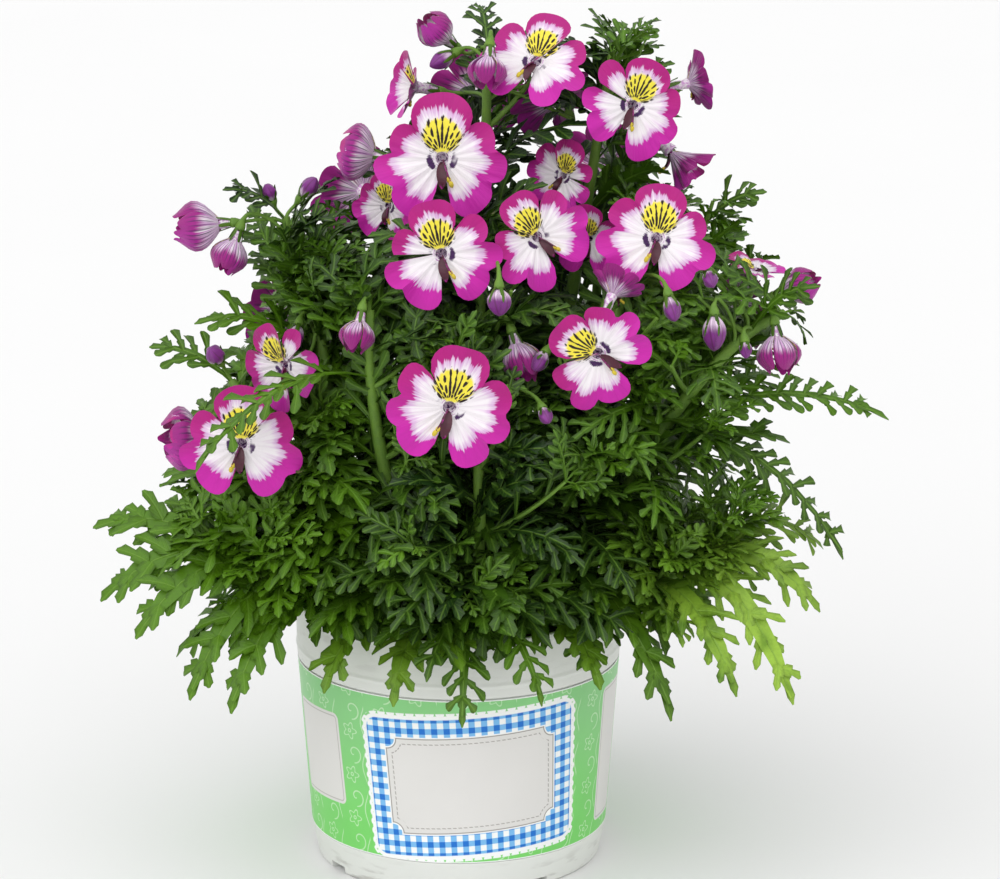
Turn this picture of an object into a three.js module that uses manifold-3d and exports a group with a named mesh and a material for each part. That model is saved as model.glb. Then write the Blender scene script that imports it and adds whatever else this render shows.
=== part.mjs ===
// A potted poor man's orchid: a bushy annual with butterfly flowers, in a round white plastic pot with a
// printed wrap. Millimetres, +Z up, the origin at the centre of the pot's underside, the front towards -Y.

import * as THREE from 'three';
import { mergeVertices } from 'three/addons/utils/BufferGeometryUtils.js';
import Module from 'manifold-3d';

const wasm = await Module();
wasm.setup();

// Driving sizes of the pot, its wrap and the soil.
const POT = {
  facets: 28,
  footRadius: 52.3,
  footTopRadius: 53.8,
  footTop: 12.4,
  wallFootRadius: 53.9,
  wallTopRadius: 58.6,
  wallTop: 76.2,
  shoulderRadius: 59.4,
  ridgeHeight: 81,
  rimRadius: 60,
  height: 98.2,
  wall: 1.5,
  floor: 2.4,
  corner: 3,
};
const DRAIN = { count: 6, radius: 4, ring: 34, sides: 6 };
const FOOT_NOTCH = { count: 4, width: 9, height: 3, depth: 5, firstAngle: -57 };
const WRAP = { gap: 0.35, thickness: 0.45, bottom: 12.8, top: 75.8 };
const SOIL = { bottom: 2.8, top: 88, dome: 2.5, level: 0.6, gap: 0.35 };
const STEM = { sides: 4, spans: 5, footRadius: 3.1, tipRadius: 1.5, holeGap: 0.4 };

// The height in the soil at which every stem stands.
const FOOT = 79.6;

// Sizes shared by the blades, stalks and flowers.
const BLADE = 0.8;
const STALK = { sides: 3, spans: 3, radius: 0.9, cupRadius: 2, cupLength: 4 };
const SEAT_GAP = 0.3;
const FUSED_DEPTH = 0.8;
const TUBE = { radius: 1.6, length: 7 };
const GOLDEN_ANGLE = 137.5;

// Distances that keep one stem's leaves clear of the other pieces, beyond the radius of a stem or bud for
// those two, and how far a flower's face stays free in front of it.
const CLEAR = {
  own: 3,
  blade: 4.4,
  petal: 4.2,
  tube: 4.5,
  stalk: 3.2,
  besideStem: 2.6,
  besideBud: 2.4,
  openFace: 34,
  halfOpenFace: 8,
  potWall: 63.5,
  potTop: 101.5,
  inside: 53,
  soil: 91,
};

// Turns and lifts, in degrees, that a leaf tries until it is clear.
const BENDS = [[0, 0], [14, 4], [-14, 4], [28, -6], [-28, -6], [8, 16], [-8, 16], [44, 0], [-44, 0], [60, 10],
  [-60, 10], [24, 26], [-24, 26], [90, 0], [-90, 0], [120, 12], [-120, 12], [180, 8]];

const GREEN = { dark: 0x3f6424, mid: 0x4f7a28, bright: 0x6f9c2c };
const COLOUR = { pot: 0xe6e6e2, wrap: 0x7ac472, soil: 0x2c2019, petal: 0xc02fa6, bud: 0x8a3a94 };

// Leafy stems. Each axis runs through its points; leaves: how many the rule places, the stretch of the axis
// they stand on, their lengths at its two ends, and the heading of the first. The second axes carry only
// large leaves.
const STEMS = [
  { name: 'left_top', colour: GREEN.dark, axes: [
    { path: [[-16, -4, FOOT], [-28, -11, 118], [-42, -18, 162], [-54, -22, 206], [-61, -16, 243]],
      leaves: { count: 6, from: 0.2, to: 0.99, long: [58, 26], turn: 200 } }] },
  { name: 'left_low', colour: GREEN.bright, axes: [
    { path: [[-26, -14, FOOT], [-44, -28, 112], [-62, -38, 146], [-72, -40, 176], [-80, -36, 188]],
      leaves: { count: 4, from: 0.25, to: 0.98, long: [60, 30], turn: 150 } },
    { path: [[-31, -18, 92], [-47, -30, 105], [-64, -42, 116], [-76, -46, 122]] }] },
  { name: 'left_mid', colour: GREEN.mid, axes: [
    { path: [[-14, -20, FOOT], [-28, -34, 120], [-42, -40, 164], [-47, -36, 196], [-50, -32, 214]],
      leaves: { count: 4, from: 0.3, to: 0.99, long: [52, 28], turn: 250 } }] },
  { name: 'front_left', colour: GREEN.mid, axes: [
    { path: [[-6, -26, FOOT], [-16, -44, 118], [-26, -56, 164], [-30, -58, 196], [-30, -54, 218]],
      leaves: { count: 4, from: 0.3, to: 0.99, long: [50, 26], turn: 280 } }] },
  { name: 'centre', colour: GREEN.dark, axes: [
    { path: [[2, 4, FOOT], [5, 2, 140], [8, -4, 205], [10, -8, 262], [11, -8, 304]],
      leaves: { count: 7, from: 0.24, to: 0.99, long: [60, 22], turn: 20 } }] },
  { name: 'right_top', colour: GREEN.dark, axes: [
    { path: [[14, 6, FOOT], [26, 4, 140], [40, 0, 205], [48, -6, 256], [55, -8, 300]],
      leaves: { count: 6, from: 0.3, to: 0.99, long: [56, 20], turn: 60 } }] },
  { name: 'front', colour: GREEN.mid, axes: [
    { path: [[4, -12, FOOT], [6, -28, 120], [7, -38, 168], [8, -42, 206], [10, -38, 238]],
      leaves: { count: 3, from: 0.4, to: 0.98, long: [42, 24], turn: 240 } }] },
  { name: 'front_right', colour: GREEN.mid, axes: [
    { path: [[16, -20, FOOT], [30, -36, 120], [44, -46, 165], [54, -46, 204], [60, -38, 226]],
      leaves: { count: 4, from: 0.3, to: 0.98, long: [54, 26], turn: 300 } }] },
  { name: 'right', colour: GREEN.bright, axes: [
    { path: [[28, -8, FOOT], [48, -22, 118], [68, -38, 162], [86, -44, 190], [103, -40, 206],
      [116, -33, 212]],
      leaves: { count: 5, from: 0.25, to: 0.99, long: [58, 24], turn: 330 } },
    { path: [[36, -13, 93], [53, -30, 106], [72, -43, 116], [86, -48, 124]] }] },
  { name: 'low_front', colour: GREEN.mid, axes: [
    { path: [[2, -36, FOOT], [6, -52, 108], [8, -64, 140], [8, -70, 168], [10, -66, 190]],
      leaves: { count: 4, from: 0.2, to: 0.98, long: [46, 28], turn: 250 } }] },
  { name: 'back_left', colour: GREEN.dark, axes: [
    { path: [[-12, 20, FOOT], [-24, 42, 128], [-36, 58, 180], [-38, 58, 224]],
      leaves: { count: 5, from: 0.2, to: 0.99, long: [62, 26], turn: 120 } }] },
  { name: 'back_right', colour: GREEN.dark, axes: [
    { path: [[16, 22, FOOT], [34, 46, 128], [50, 62, 180], [52, 60, 230]],
      leaves: { count: 5, from: 0.2, to: 0.99, long: [62, 26], turn: 60 } }] },
  { name: 'back', colour: GREEN.dark, axes: [
    { path: [[0, 34, FOOT], [2, 52, 128], [4, 60, 180], [2, 56, 226], [0, 46, 256]],
      leaves: { count: 6, from: 0.2, to: 0.99, long: [58, 26], turn: 90 } }] },
  { name: 'right_back', colour: GREEN.dark, axes: [
    { path: [[30, 12, FOOT], [52, 18, 128], [74, 14, 186], [88, 2, 236]],
      leaves: { count: 6, from: 0.2, to: 0.99, long: [58, 26], turn: 10 } }] },
];

// Large leaves placed by hand where the plant shows them: the stem and axis they grow from, how far along,
// the tip, how high the rib arches over its chord, the widest reach of the lobes, and whether they are broad.
const LARGE_LEAVES = [
  { stem: 'left_low', axis: 1, along: 0.95, tip: [-126, -32, 134], arch: 8, reach: 13, broad: true },
  { stem: 'left_low', axis: 1, along: 0.8, tip: [-124, -52, 114], arch: 12, reach: 14, broad: true },
  { stem: 'left_low', axis: 1, along: 0.7, tip: [-112, -66, 104], arch: 14, reach: 14, broad: true },
  { stem: 'left_low', axis: 1, along: 0.45, tip: [-95, -68, 80], arch: 18, reach: 14, broad: true },
  { stem: 'left_low', axis: 1, along: 0.25, tip: [-80, -76, 78], arch: 20, reach: 14, broad: true },
  { stem: 'left_low', axis: 0, along: 0.3, tip: [-108, -8, 128], arch: 12, reach: 13, broad: false },
  { stem: 'left_mid', axis: 0, along: 0.12, tip: [-46, -74, 88], arch: 12, reach: 14, broad: false },
  { stem: 'front_left', axis: 0, along: 0.74, tip: [-88, -96, 174], arch: 12, reach: 11, broad: false },
  { stem: 'front_left', axis: 0, along: 0.08, tip: [-22, -80, 84], arch: 14, reach: 13, broad: true },
  { stem: 'low_front', axis: 0, along: 0.16, tip: [2, -90, 78], arch: 14, reach: 12, broad: false },
  { stem: 'low_front', axis: 0, along: 0.24, tip: [30, -88, 86], arch: 12, reach: 12, broad: false },
  { stem: 'front_right', axis: 0, along: 0.12, tip: [50, -78, 90], arch: 14, reach: 13, broad: true },
  { stem: 'front_right', axis: 0, along: 0.24, tip: [76, -86, 80], arch: 18, reach: 15, broad: true },
  { stem: 'right', axis: 1, along: 0.9, tip: [127, -60, 112], arch: 12, reach: 13, broad: true },
  { stem: 'right', axis: 1, along: 0.7, tip: [120, -72, 78], arch: 20, reach: 13, broad: true },
  { stem: 'right', axis: 1, along: 0.5, tip: [98, -84, 88], arch: 16, reach: 13, broad: true },
  { stem: 'right', axis: 1, along: 0.98, tip: [130, -30, 126], arch: 12, reach: 12, broad: false },
  { stem: 'right', axis: 0, along: 0.46, tip: [152, -22, 172], arch: 10, reach: 9, broad: false },
  { stem: 'right', axis: 0, along: 0.4, tip: [140, -40, 122], arch: 20, reach: 9, broad: false },
  { stem: 'right_back', axis: 0, along: 0.2, tip: [108, 40, 104], arch: 18, reach: 14, broad: false },
  { stem: 'back_right', axis: 0, along: 0.14, tip: [48, 104, 96], arch: 18, reach: 14, broad: false },
  { stem: 'back_right', axis: 0, along: 0.42, tip: [66, 96, 150], arch: 8, reach: 14, broad: false },
  { stem: 'back_right', axis: 0, along: 0.6, tip: [32, 96, 196], arch: 6, reach: 13, broad: false },
  { stem: 'back_left', axis: 0, along: 0.14, tip: [-40, 104, 98], arch: 18, reach: 14, broad: false },
  { stem: 'back_left', axis: 0, along: 0.42, tip: [-58, 94, 148], arch: 8, reach: 14, broad: false },
  { stem: 'back_left', axis: 0, along: 0.6, tip: [-22, 96, 190], arch: 6, reach: 13, broad: false },
  { stem: 'back', axis: 0, along: 0.28, tip: [-22, 100, 148], arch: 8, reach: 15, broad: false },
  { stem: 'back', axis: 0, along: 0.4, tip: [24, 100, 162], arch: 8, reach: 15, broad: false },
  { stem: 'left_top', axis: 0, along: 0.14, tip: [-98, 36, 106], arch: 18, reach: 14, broad: false },
];

// Flowers: name, stem, how far along it the stalk leaves, the middle of the throat, where it faces in degrees
// (from the front towards +X, and upwards), how far the upper petal is turned clockwise, the petals' reach,
// and how wide they are spread from the flower's axis.
const OPEN = 76;
const BLOOMS = [
  ['top', 'centre', 0.86, [28, -17, 299], [-12, 40], 14, 21, OPEN],
  ['top_left', 'centre', 0.86, [-14, 4, 286], [-70, 12], 0, 16, 55],
  ['upper_large', 'centre', 0.76, [-5, -34, 268], [0, 12], 0, 24, OPEN],
  ['upper_left_half', 'centre', 0.7, [-33, -16, 266], [-100, 10], 0, 13, 42],
  ['middle_left', 'front', 0.97, [-5, -62, 240], [-4, 5], -12, 21.5, OPEN],
  ['middle', 'front', 0.99, [28, -53, 244], [20, 10], -35, 20, 72],
  ['behind_left', 'centre', 0.62, [-24, -20, 248], [-35, 5], 0, 15, 66],
  ['behind_middle', 'right_top', 0.66, [38, -16, 258], [-25, 15], 20, 15, 66],
  ['top_back', 'centre', 0.88, [36, 8, 280], [-150, 20], 0, 18, 66],
  ['upper_right', 'right_top', 0.9, [62, -24, 285], [8, 6], 25, 20, OPEN],
  ['right_top_back', 'right_top', 0.93, [82, 6, 287], [110, 8], 0, 14, 55],
  ['right_nodding', 'right_top', 0.84, [76, 0, 264], [70, -40], 0, 19, 34],
  ['right_large', 'front_right', 0.97, [70, -47, 242], [6, 22], 10, 22, OPEN],
  ['behind_right', 'front_right', 0.9, [47, -28, 238], [-20, 0], 0, 15, 66],
  ['right_turned', 'front_right', 0.86, [54, -60, 224], [150, 40], 0, 14, 45],
  ['lower_right', 'front_right', 0.7, [49, -76, 208], [5, 0], -60, 20.5, OPEN],
  ['lower_large', 'low_front', 0.93, [-2, -88, 192], [0, 0], 12, 24, OPEN],
  ['lower_half', 'front', 0.75, [22, -64, 205], [40, -60], 0, 12, 28],
  ['left_large', 'left_low', 0.85, [-75, -66, 173], [-8, 3], 0, 22.5, OPEN],
  ['left_behind', 'left_low', 0.9, [-94, -40, 168], [-80, 0], 0, 15, 40],
  ['left_upper', 'left_mid', 0.9, [-60, -52, 198], [-40, -5], -30, 19, 72],
  ['left_side', 'left_top', 0.97, [-88, -20, 241], [-88, -5], 0, 15, 30],
  ['right_flat', 'right', 0.86, [106, -20, 224], [60, 75], 0, 12, 70],
  ['right_side_half', 'right', 0.96, [120, -24, 219], [75, 25], 0, 11, 30],
  ['left_nodding', 'left_top', 0.93, [-80, -24, 233], [-60, -65], 0, 11, 30],
  ['right_low_nodding', 'right', 0.93, [113, -46, 203], [20, -70], 0, 12, 32],
  ['top_nodding', 'centre', 0.95, [11, -26, 299], [-10, -60], 0, 10, 34],
  ['centre_left_half', 'front_left', 0.97, [-34, -66, 213], [-20, -60], 0, 9, 34],
  ['tip_half', 'centre', 0.98, [-6, 2, 306], [-60, 40], 0, 11, 30],
  ['back_left', 'back_left', 0.94, [-36, 80, 232], [-165, 10], 8, 22, OPEN],
  ['back_right', 'back_right', 0.94, [54, 82, 240], [160, 12], -10, 22, OPEN],
  ['back_top', 'back', 0.95, [6, 66, 272], [178, 18], 6, 21, OPEN],
  ['back_low_left', 'back_left', 0.7, [-66, 66, 190], [-140, 5], -12, 20, OPEN],
  ['back_low_right', 'back_right', 0.7, [78, 72, 196], [145, 5], 14, 20, OPEN],
  ['right_side', 'right_back', 0.8, [104, 34, 200], [112, 6], 10, 20, OPEN],
].map(([name, stem, leaves, at, face, roll, reach, spread]) =>
  ({ name, stem, leaves, at, face, roll, reach, spread }));

// Closed buds: name, stem and place on it, the base, where they point, as for the flowers, their length and
// widest radius. The smallest are one body with their stem.
const BUDS = [
  ['left_top', 'left_top', 0.99, [-55, -12, 250], [60, 50], 9, 3],
  ['left_tip', 'left_top', 0.98, [-66, -14, 249], [-30, 60], 7, 2.6],
  ['left_mid', 'left_mid', 0.97, [-56, -38, 208], [-20, -50], 9, 3],
  ['left_low', 'left_low', 0.98, [-84, -42, 197], [-20, 40], 9, 3.2],
  ['top', 'centre', 0.94, [-2, -2, 299], [-70, -25], 9, 3],
  ['centre', 'front', 0.9, [15, -71, 229], [0, -70], 9, 4],
  ['low_front', 'low_front', 0.99, [30, -80, 189], [20, -30], 7, 2.4],
  ['low_right', 'front_right', 0.66, [31, -68, 206], [-40, -40], 8, 2.8],
  ['right_large', 'front_right', 0.92, [74, -62, 224], [20, -50], 9, 3],
  ['right', 'right', 0.78, [88, -50, 230], [10, -20], 8, 2.6],
  ['right_nodding', 'right', 0.72, [90, -56, 216], [0, -75], 12, 4],
  ['right_small', 'right', 0.8, [101, -52, 206], [10, -60], 6, 2.2],
].map(([name, stem, leaves, at, face, long, radius]) => ({ name, stem, leaves, at, face, long, radius }));
const LOOSE_BUD_RADIUS = 3;
const isLoose = (bud) => bud.radius >= LOOSE_BUD_RADIUS;

// Small vector maths on [x, y, z].
const add = (a, b) => [a[0] + b[0], a[1] + b[1], a[2] + b[2]];
const sub = (a, b) => [a[0] - b[0], a[1] - b[1], a[2] - b[2]];
const times = (a, k) => [a[0] * k, a[1] * k, a[2] * k];
const dot = (a, b) => a[0] * b[0] + a[1] * b[1] + a[2] * b[2];
const cross = (a, b) => [a[1] * b[2] - a[2] * b[1], a[2] * b[0] - a[0] * b[2], a[0] * b[1] - a[1] * b[0]];
const unit = (a) => times(a, 1 / Math.hypot(...a));
const sum = (...parts) => parts.reduce(add);
const mix = (a, b, k) => a + (b - a) * k;
const sine = (degrees) => Math.sin(THREE.MathUtils.degToRad(degrees));
const cosine = (degrees) => Math.cos(THREE.MathUtils.degToRad(degrees));

// A repeatable draw between 0 and 1 for item number i and use number k.
function draw(i, k) {
  const value = Math.sin(i * 12.9898 + k * 78.233) * 43758.5453;
  return value - Math.floor(value);
}

// The point of a smooth curve through the given points, at t from 0 to 1 (uniform Catmull-Rom).
function along(path, t) {
  const last = path.length - 1;
  const place = Math.min(Math.max(t, 0), 1) * last;
  const i = Math.min(Math.floor(place), last - 1);
  const u = place - i;
  const p1 = path[i];
  const p2 = path[i + 1];
  const p0 = i > 0 ? path[i - 1] : sub(times(p1, 2), p2);
  const p3 = i + 2 <= last ? path[i + 2] : sub(times(p2, 2), p1);
  return sum(times(p0, 0.5 * u * (u * (2 - u) - 1)), times(p1, 0.5 * (u * u * (3 * u - 5) + 2)),
    times(p2, 0.5 * u * (u * (4 - 3 * u) + 1)), times(p3, 0.5 * u * u * (u - 1)));
}

const STEP = 0.01;
const headingAt = (path, t) =>
  unit(sub(along(path, Math.min(t + STEP, 1)), along(path, Math.max(t - STEP, 0))));

// The direction given by an angle from the front towards +X and one upwards.
const direction = ([azimuth, rise]) =>
  [sine(azimuth) * cosine(rise), -cosine(azimuth) * cosine(rise), sine(rise)];

// The right and up axes of something that faces along n, turned clockwise by roll.
function axesFacing(n, roll) {
  const right = unit(cross(n, [0, 0, -1]));
  const up = cross(n, right);
  return [sum(times(right, cosine(roll)), times(up, -sine(roll))),
    sum(times(up, cosine(roll)), times(right, sine(roll)))];
}

// A closed solid from points and triangles.
function solid(points, triangles) {
  return new wasm.Manifold(new wasm.Mesh({
    numProp: 3,
    vertProperties: new Float32Array(points.flat()),
    triVerts: new Uint32Array(triangles.flat()),
  }));
}

// A closed solid from a three.js geometry.
function solidOf(geometry) {
  geometry.deleteAttribute('normal');
  geometry.deleteAttribute('uv');
  const merged = mergeVertices(geometry, 1e-4);
  return new wasm.Manifold(new wasm.Mesh({
    numProp: 3,
    vertProperties: new Float32Array(merged.attributes.position.array),
    triVerts: new Uint32Array(merged.index.array),
  }));
}

function geometryOf(manifold) {
  const mesh = manifold.getMesh();
  const geometry = new THREE.BufferGeometry();
  geometry.setAttribute('position', new THREE.BufferAttribute(new Float32Array(mesh.vertProperties), 3));
  geometry.setIndex(new THREE.BufferAttribute(new Uint32Array(mesh.triVerts), 1));
  geometry.computeVertexNormals();
  return geometry;
}

const fused = (solids) => solids.reduce((all, one) => all.add(one));

// A closed tube of flat-sided rings round the points of a path, with a radius for each point.
function tube(points, radii, sides) {
  const last = points.length - 1;
  const vertices = [];
  let side = null;
  points.forEach((point, i) => {
    const tangent = unit(sub(points[Math.min(i + 1, last)], points[Math.max(i - 1, 0)]));
    side = side ? unit(sub(side, times(tangent, dot(side, tangent)))) : unit(cross(tangent, [0.6, 0.8, 0.1]));
    const up = cross(tangent, side);
    for (let k = 0; k < sides; k += 1) {
      const angle = (360 * k) / sides;
      vertices.push(sum(point, times(side, radii[i] * cosine(angle)), times(up, radii[i] * sine(angle))));
    }
  });
  const triangles = [];
  for (let i = 0; i < last; i += 1) {
    for (let k = 0; k < sides; k += 1) {
      const a = i * sides + k;
      const b = i * sides + ((k + 1) % sides);
      triangles.push([a, b, b + sides], [a, b + sides, a + sides]);
    }
  }
  for (let k = 1; k < sides - 1; k += 1) {
    triangles.push([0, k + 1, k], [last * sides, last * sides + k, last * sides + k + 1]);
  }
  return solid(vertices, triangles);
}

// A thin closed blade: one triangulated face, its copy a thickness below, and a wall round the edge.
function blade(points, normals, triangles, thickness) {
  const count = points.length;
  const half = thickness / 2;
  const top = points.map((point, i) => add(point, times(normals[i], half)));
  const bottom = points.map((point, i) => add(point, times(normals[i], -half)));
  const edges = new Set(triangles.flatMap(([a, b, c]) => [`${a},${b}`, `${b},${c}`, `${c},${a}`]));
  const all = [...triangles];
  triangles.forEach(([a, b, c]) => all.push([a + count, c + count, b + count]));
  edges.forEach((edge) => {
    const [a, b] = edge.split(',').map(Number);
    if (!edges.has(`${b},${a}`)) all.push([b, a, a + count], [b, a + count, b + count]);
  });
  return solid([...top, ...bottom], all);
}

// A leaf's rib runs from its root to its tip, arched over the chord by a parabola. It gives the point at s,
// the way the rib runs, the way to the right of it and the blade's upward normal.
function ribAt(leaf, s) {
  const chord = sub(leaf.tip, leaf.root);
  const point = sum(leaf.root, times(chord, s), [0, 0, 4 * leaf.arch * s * (1 - s)]);
  const run = unit(add(chord, [0, 0, 4 * leaf.arch * (1 - 2 * s)]));
  const flat = unit([chord[1], -chord[0], 0]);
  const up = unit(cross(flat, run));
  return { point, run, right: flat, up };
}

// Where the lobes stand on the rib, how far they reach and which way they lean.
const LOBES = { from: 0.24, to: 0.93, lean: 52, droop: 0.22, ribWidth: 1.1, fourPairs: 44, fivePairs: 70 };
const lobePairs = ({ long }) => 3 + (long > LOBES.fourPairs ? 1 : 0) + (long > LOBES.fivePairs ? 1 : 0);
const lobeReach = (leaf, s) => leaf.reach * (0.42 + 0.58 * Math.sin(Math.PI * Math.min(1, (s + 0.1) / 1.08)));

// The tip of the lobe on one side (1 right, -1 left) of the rib at s, and a point part of the way out.
function lobePoint(leaf, s, sideways, part) {
  const rib = ribAt(leaf, s);
  const reach = lobeReach(leaf, s) * part;
  const lean = LOBES.lean;
  return sum(rib.point, times(rib.run, reach * cosine(lean)), times(rib.right, sideways * reach * sine(lean)),
    times(rib.up, -LOBES.droop * reach * part));
}

// The points of a leaf that are tested for clearance: down the rib and out along each lobe.
function leafSamples(leaf) {
  const pairs = lobePairs(leaf);
  const samples = [0.3, 0.5, 0.7, 0.9, 1].map((s) => ribAt(leaf, s).point);
  for (let j = 0; j < pairs; j += 1) {
    const s = mix(LOBES.from, LOBES.to, (j + 0.5) / pairs);
    for (const sideways of [1, -1]) {
      for (const part of [0.5, 1]) samples.push(lobePoint(leaf, s, sideways, part));
    }
  }
  return samples;
}

// A leaf as one thin arched blade whose outline is cut to the rib between its lobes.
function leafSolid(leaf) {
  const pairs = lobePairs(leaf);
  const points = [];
  const normals = [];
  const triangles = [];
  const put = (point, normal) => {
    points.push(point);
    normals.push(normal);
    return points.length - 1;
  };
  const station = (s, width) => {
    const rib = ribAt(leaf, s);
    return [1, -1].map((way) => put(add(rib.point, times(rib.right, way * width)), rib.up));
  };
  const stations = [station(0, 0.8)];
  for (let j = 0; j <= pairs; j += 1) {
    const s = mix(LOBES.from, LOBES.to, j / pairs);
    stations.push(station(s, LOBES.ribWidth * (1.15 - 0.5 * s)));
  }
  for (let i = 0; i + 1 < stations.length; i += 1) {
    const [r0, l0] = stations[i];
    const [r1, l1] = stations[i + 1];
    triangles.push([l0, r0, r1], [l0, r1, l1]);
    if (i === 0) continue;
    const s = mix(LOBES.from, LOBES.to, (i - 0.5) / pairs);
    const up = ribAt(leaf, s).up;
    const rightTip = put(lobePoint(leaf, s, 1, 1), up);
    const leftTip = put(lobePoint(leaf, s, -1, 1), up);
    if (leaf.broad) {
      const half = (0.3 * leaf.long * (LOBES.to - LOBES.from)) / pairs;
      const run = ribAt(leaf, s).run;
      const rightLow = put(sub(lobePoint(leaf, s, 1, 0.72), times(run, half)), up);
      const leftLow = put(sub(lobePoint(leaf, s, -1, 0.72), times(run, half)), up);
      triangles.push([r0, rightLow, rightTip], [r0, rightTip, r1]);
      triangles.push([l0, leftTip, leftLow], [l0, l1, leftTip]);
    } else {
      triangles.push([r0, rightTip, r1], [l0, l1, leftTip]);
    }
  }
  const [rEnd, lEnd] = stations[stations.length - 1];
  const end = ribAt(leaf, 1);
  const tipPoint = put(end.point, end.up);
  triangles.push([lEnd, rEnd, tipPoint]);
  return blade(points, normals, triangles, BLADE);
}

// The petal's lobes, by their angle from the top, half their width, their reach as a share of the flower's,
// and how deep the cut after each runs, as a share too.
const PETAL_LOBES = [
  { at: 0, half: 40, reach: 0.93, points: [0.32, 0.75], fold: 0.5, cut: 0.42 },
  { at: 64, half: 22, reach: 0.88, points: [-0.5, 0.4], fold: 0, cut: 0.72 },
  { at: 103, half: 17, reach: 1, points: [-0.5, 0.5], fold: 0, cut: 0.72 },
  { at: 145, half: 25, reach: 0.98, points: [-0.55, 0.5], fold: 0, cut: 0.34 },
];
const LIP_REACH = 0.46;
const HALF_OPEN = 68;
const PETAL_CURL = 0.16;
const THROAT_REACH = 0.2;

// The corners of the throat, by their angle from the top. They stand opposite the petals' deepest cuts, so
// that the triangles between them and the outline all face forwards.
const THROAT_ANGLES = [-40, 40, 105, 179, 255];

// A point of a flower, by its angle from the top and its distance out along the petal.
function petalPoint(bloom, angle, out) {
  const n = direction(bloom.face);
  const [right, up] = axesFacing(n, bloom.roll);
  const wide = out * sine(bloom.spread);
  const curl = PETAL_CURL * out * (out / bloom.reach) * sine(bloom.spread);
  const high = out * cosine(bloom.spread) - curl;
  return sum(bloom.at, times(right, wide * sine(angle)), times(up, wide * cosine(angle)), times(n, high));
}

// The outline of a flower, as angle and distance out, clockwise from the top: a half and its mirror image.
function petalOutline(bloom) {
  const half = [];
  PETAL_LOBES.forEach((lobe) => {
    (bloom.spread > HALF_OPEN ? lobe.points : [lobe.fold]).forEach((place) => {
      half.push([lobe.at + place * lobe.half, bloom.reach * lobe.reach * (1 - 0.15 * place * place)]);
    });
    half.push([lobe.at + lobe.half, bloom.reach * lobe.cut]);
  });
  const mirrored = half.map(([angle, out]) => [360 - angle, out]).reverse();
  return [...half, [180, bloom.reach * LIP_REACH], ...mirrored];
}

// Triangles between two closed loops of points given clockwise by angle, as pairs of point number and angle.
function bandBetween(outer, inner) {
  const triangles = [];
  const angleAt = (loop, i) => loop[i % loop.length][1] + (i >= loop.length ? 360 : 0);
  const pointAt = (loop, i) => loop[i % loop.length][0];
  let i = 0;
  let k = 0;
  while (i < outer.length || k < inner.length) {
    const innerDone = k >= inner.length;
    if (i < outer.length && (innerDone || angleAt(outer, i + 1) <= angleAt(inner, k + 1))) {
      triangles.push([pointAt(outer, i + 1), pointAt(outer, i), pointAt(inner, k)]);
      i += 1;
    } else {
      triangles.push([pointAt(outer, i), pointAt(inner, k), pointAt(inner, k + 1)]);
      k += 1;
    }
  }
  return triangles;
}

// A flower as one closed body: a lobed dish of petals with a funnel behind it down to its tube.
function bloomSolid(bloom) {
  const n = direction(bloom.face);
  const [right, up] = axesFacing(n, bloom.roll);
  const outward = (angle) => add(times(right, sine(angle)), times(up, cosine(angle)));
  const ring = THROAT_ANGLES.map((angle) => [angle, bloom.reach * THROAT_REACH]);
  const sides = ring.length;
  const outline = petalOutline(bloom);
  const loop = [...outline, ...ring];
  const front = loop.map(([angle, out]) => petalPoint(bloom, angle, out));
  const behind = ([angle]) => add(times(n, -sine(bloom.spread)), times(outward(angle), cosine(bloom.spread)));
  const back = front.map((point, i) => add(point, times(behind(loop[i]), BLADE)));
  const tubeEnd = ring.map(([angle]) =>
    sum(bloom.at, times(n, -TUBE.length), times(outward(angle), TUBE.radius)));
  const points = [...front, ...back, ...tubeEnd, bloom.at];
  const count = loop.length;
  const first = outline.length;
  const end = 2 * count;
  const middle = points.length - 1;
  const band = bandBetween(
    outline.map(([angle], i) => [i, angle]),
    ring.map(([angle], k) => [first + k, angle]),
  );
  const triangles = [...band, ...band.map(([a, b, c]) => [a + count, c + count, b + count])];
  outline.forEach((_, i) => {
    const next = (i + 1) % outline.length;
    triangles.push([i, next, next + count], [i, next + count, i + count]);
  });
  for (let k = 0; k < sides; k += 1) {
    const near = first + k;
    const far = first + ((k + 1) % sides);
    const endFar = end + ((k + 1) % sides);
    triangles.push([middle, far, near], [near + count, far + count, endFar], [near + count, endFar, end + k]);
    if (k > 0 && k < sides - 1) triangles.push([end, end + k, end + k + 1]);
  }
  return solid(points, triangles);
}

// A bud as a small closed body, widest below its middle.
const BUD_RINGS = [[0, 0.5], [0.3, 1], [0.68, 0.86], [1, 0.28]];
const BUD_SIDES = 4;
function budSolid(bud) {
  const way = direction(bud.face);
  return tube(BUD_RINGS.map(([part]) => add(bud.at, times(way, part * bud.long))),
    BUD_RINGS.map(([, wide]) => wide * bud.radius), BUD_SIDES);
}

// The stalk of a flower or bud, from its stem to the flat end of the green cup that carries it.
function stalkPoints(item, back) {
  const way = direction(item.face);
  const axis = STEMS.find((stem) => stem.name === item.stem).axes[0].path;
  const foot = along(axis, item.leaves);
  const cupEnd = sub(item.at, times(way, back + SEAT_GAP));
  const cup = sub(cupEnd, times(way, STALK.cupLength));
  const reach = 0.35 * Math.hypot(...sub(cup, foot));
  const leave = add(foot, times(headingAt(axis, item.leaves), reach));
  const arrive = sub(cup, times(way, reach));
  const points = [];
  for (let i = 0; i <= STALK.spans; i += 1) {
    const t = i / STALK.spans;
    const u = 1 - t;
    points.push(sum(times(foot, u * u * u), times(leave, 3 * u * u * t), times(arrive, 3 * u * t * t),
      times(cup, t * t * t)));
  }
  return [...points, cupEnd];
}

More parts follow.
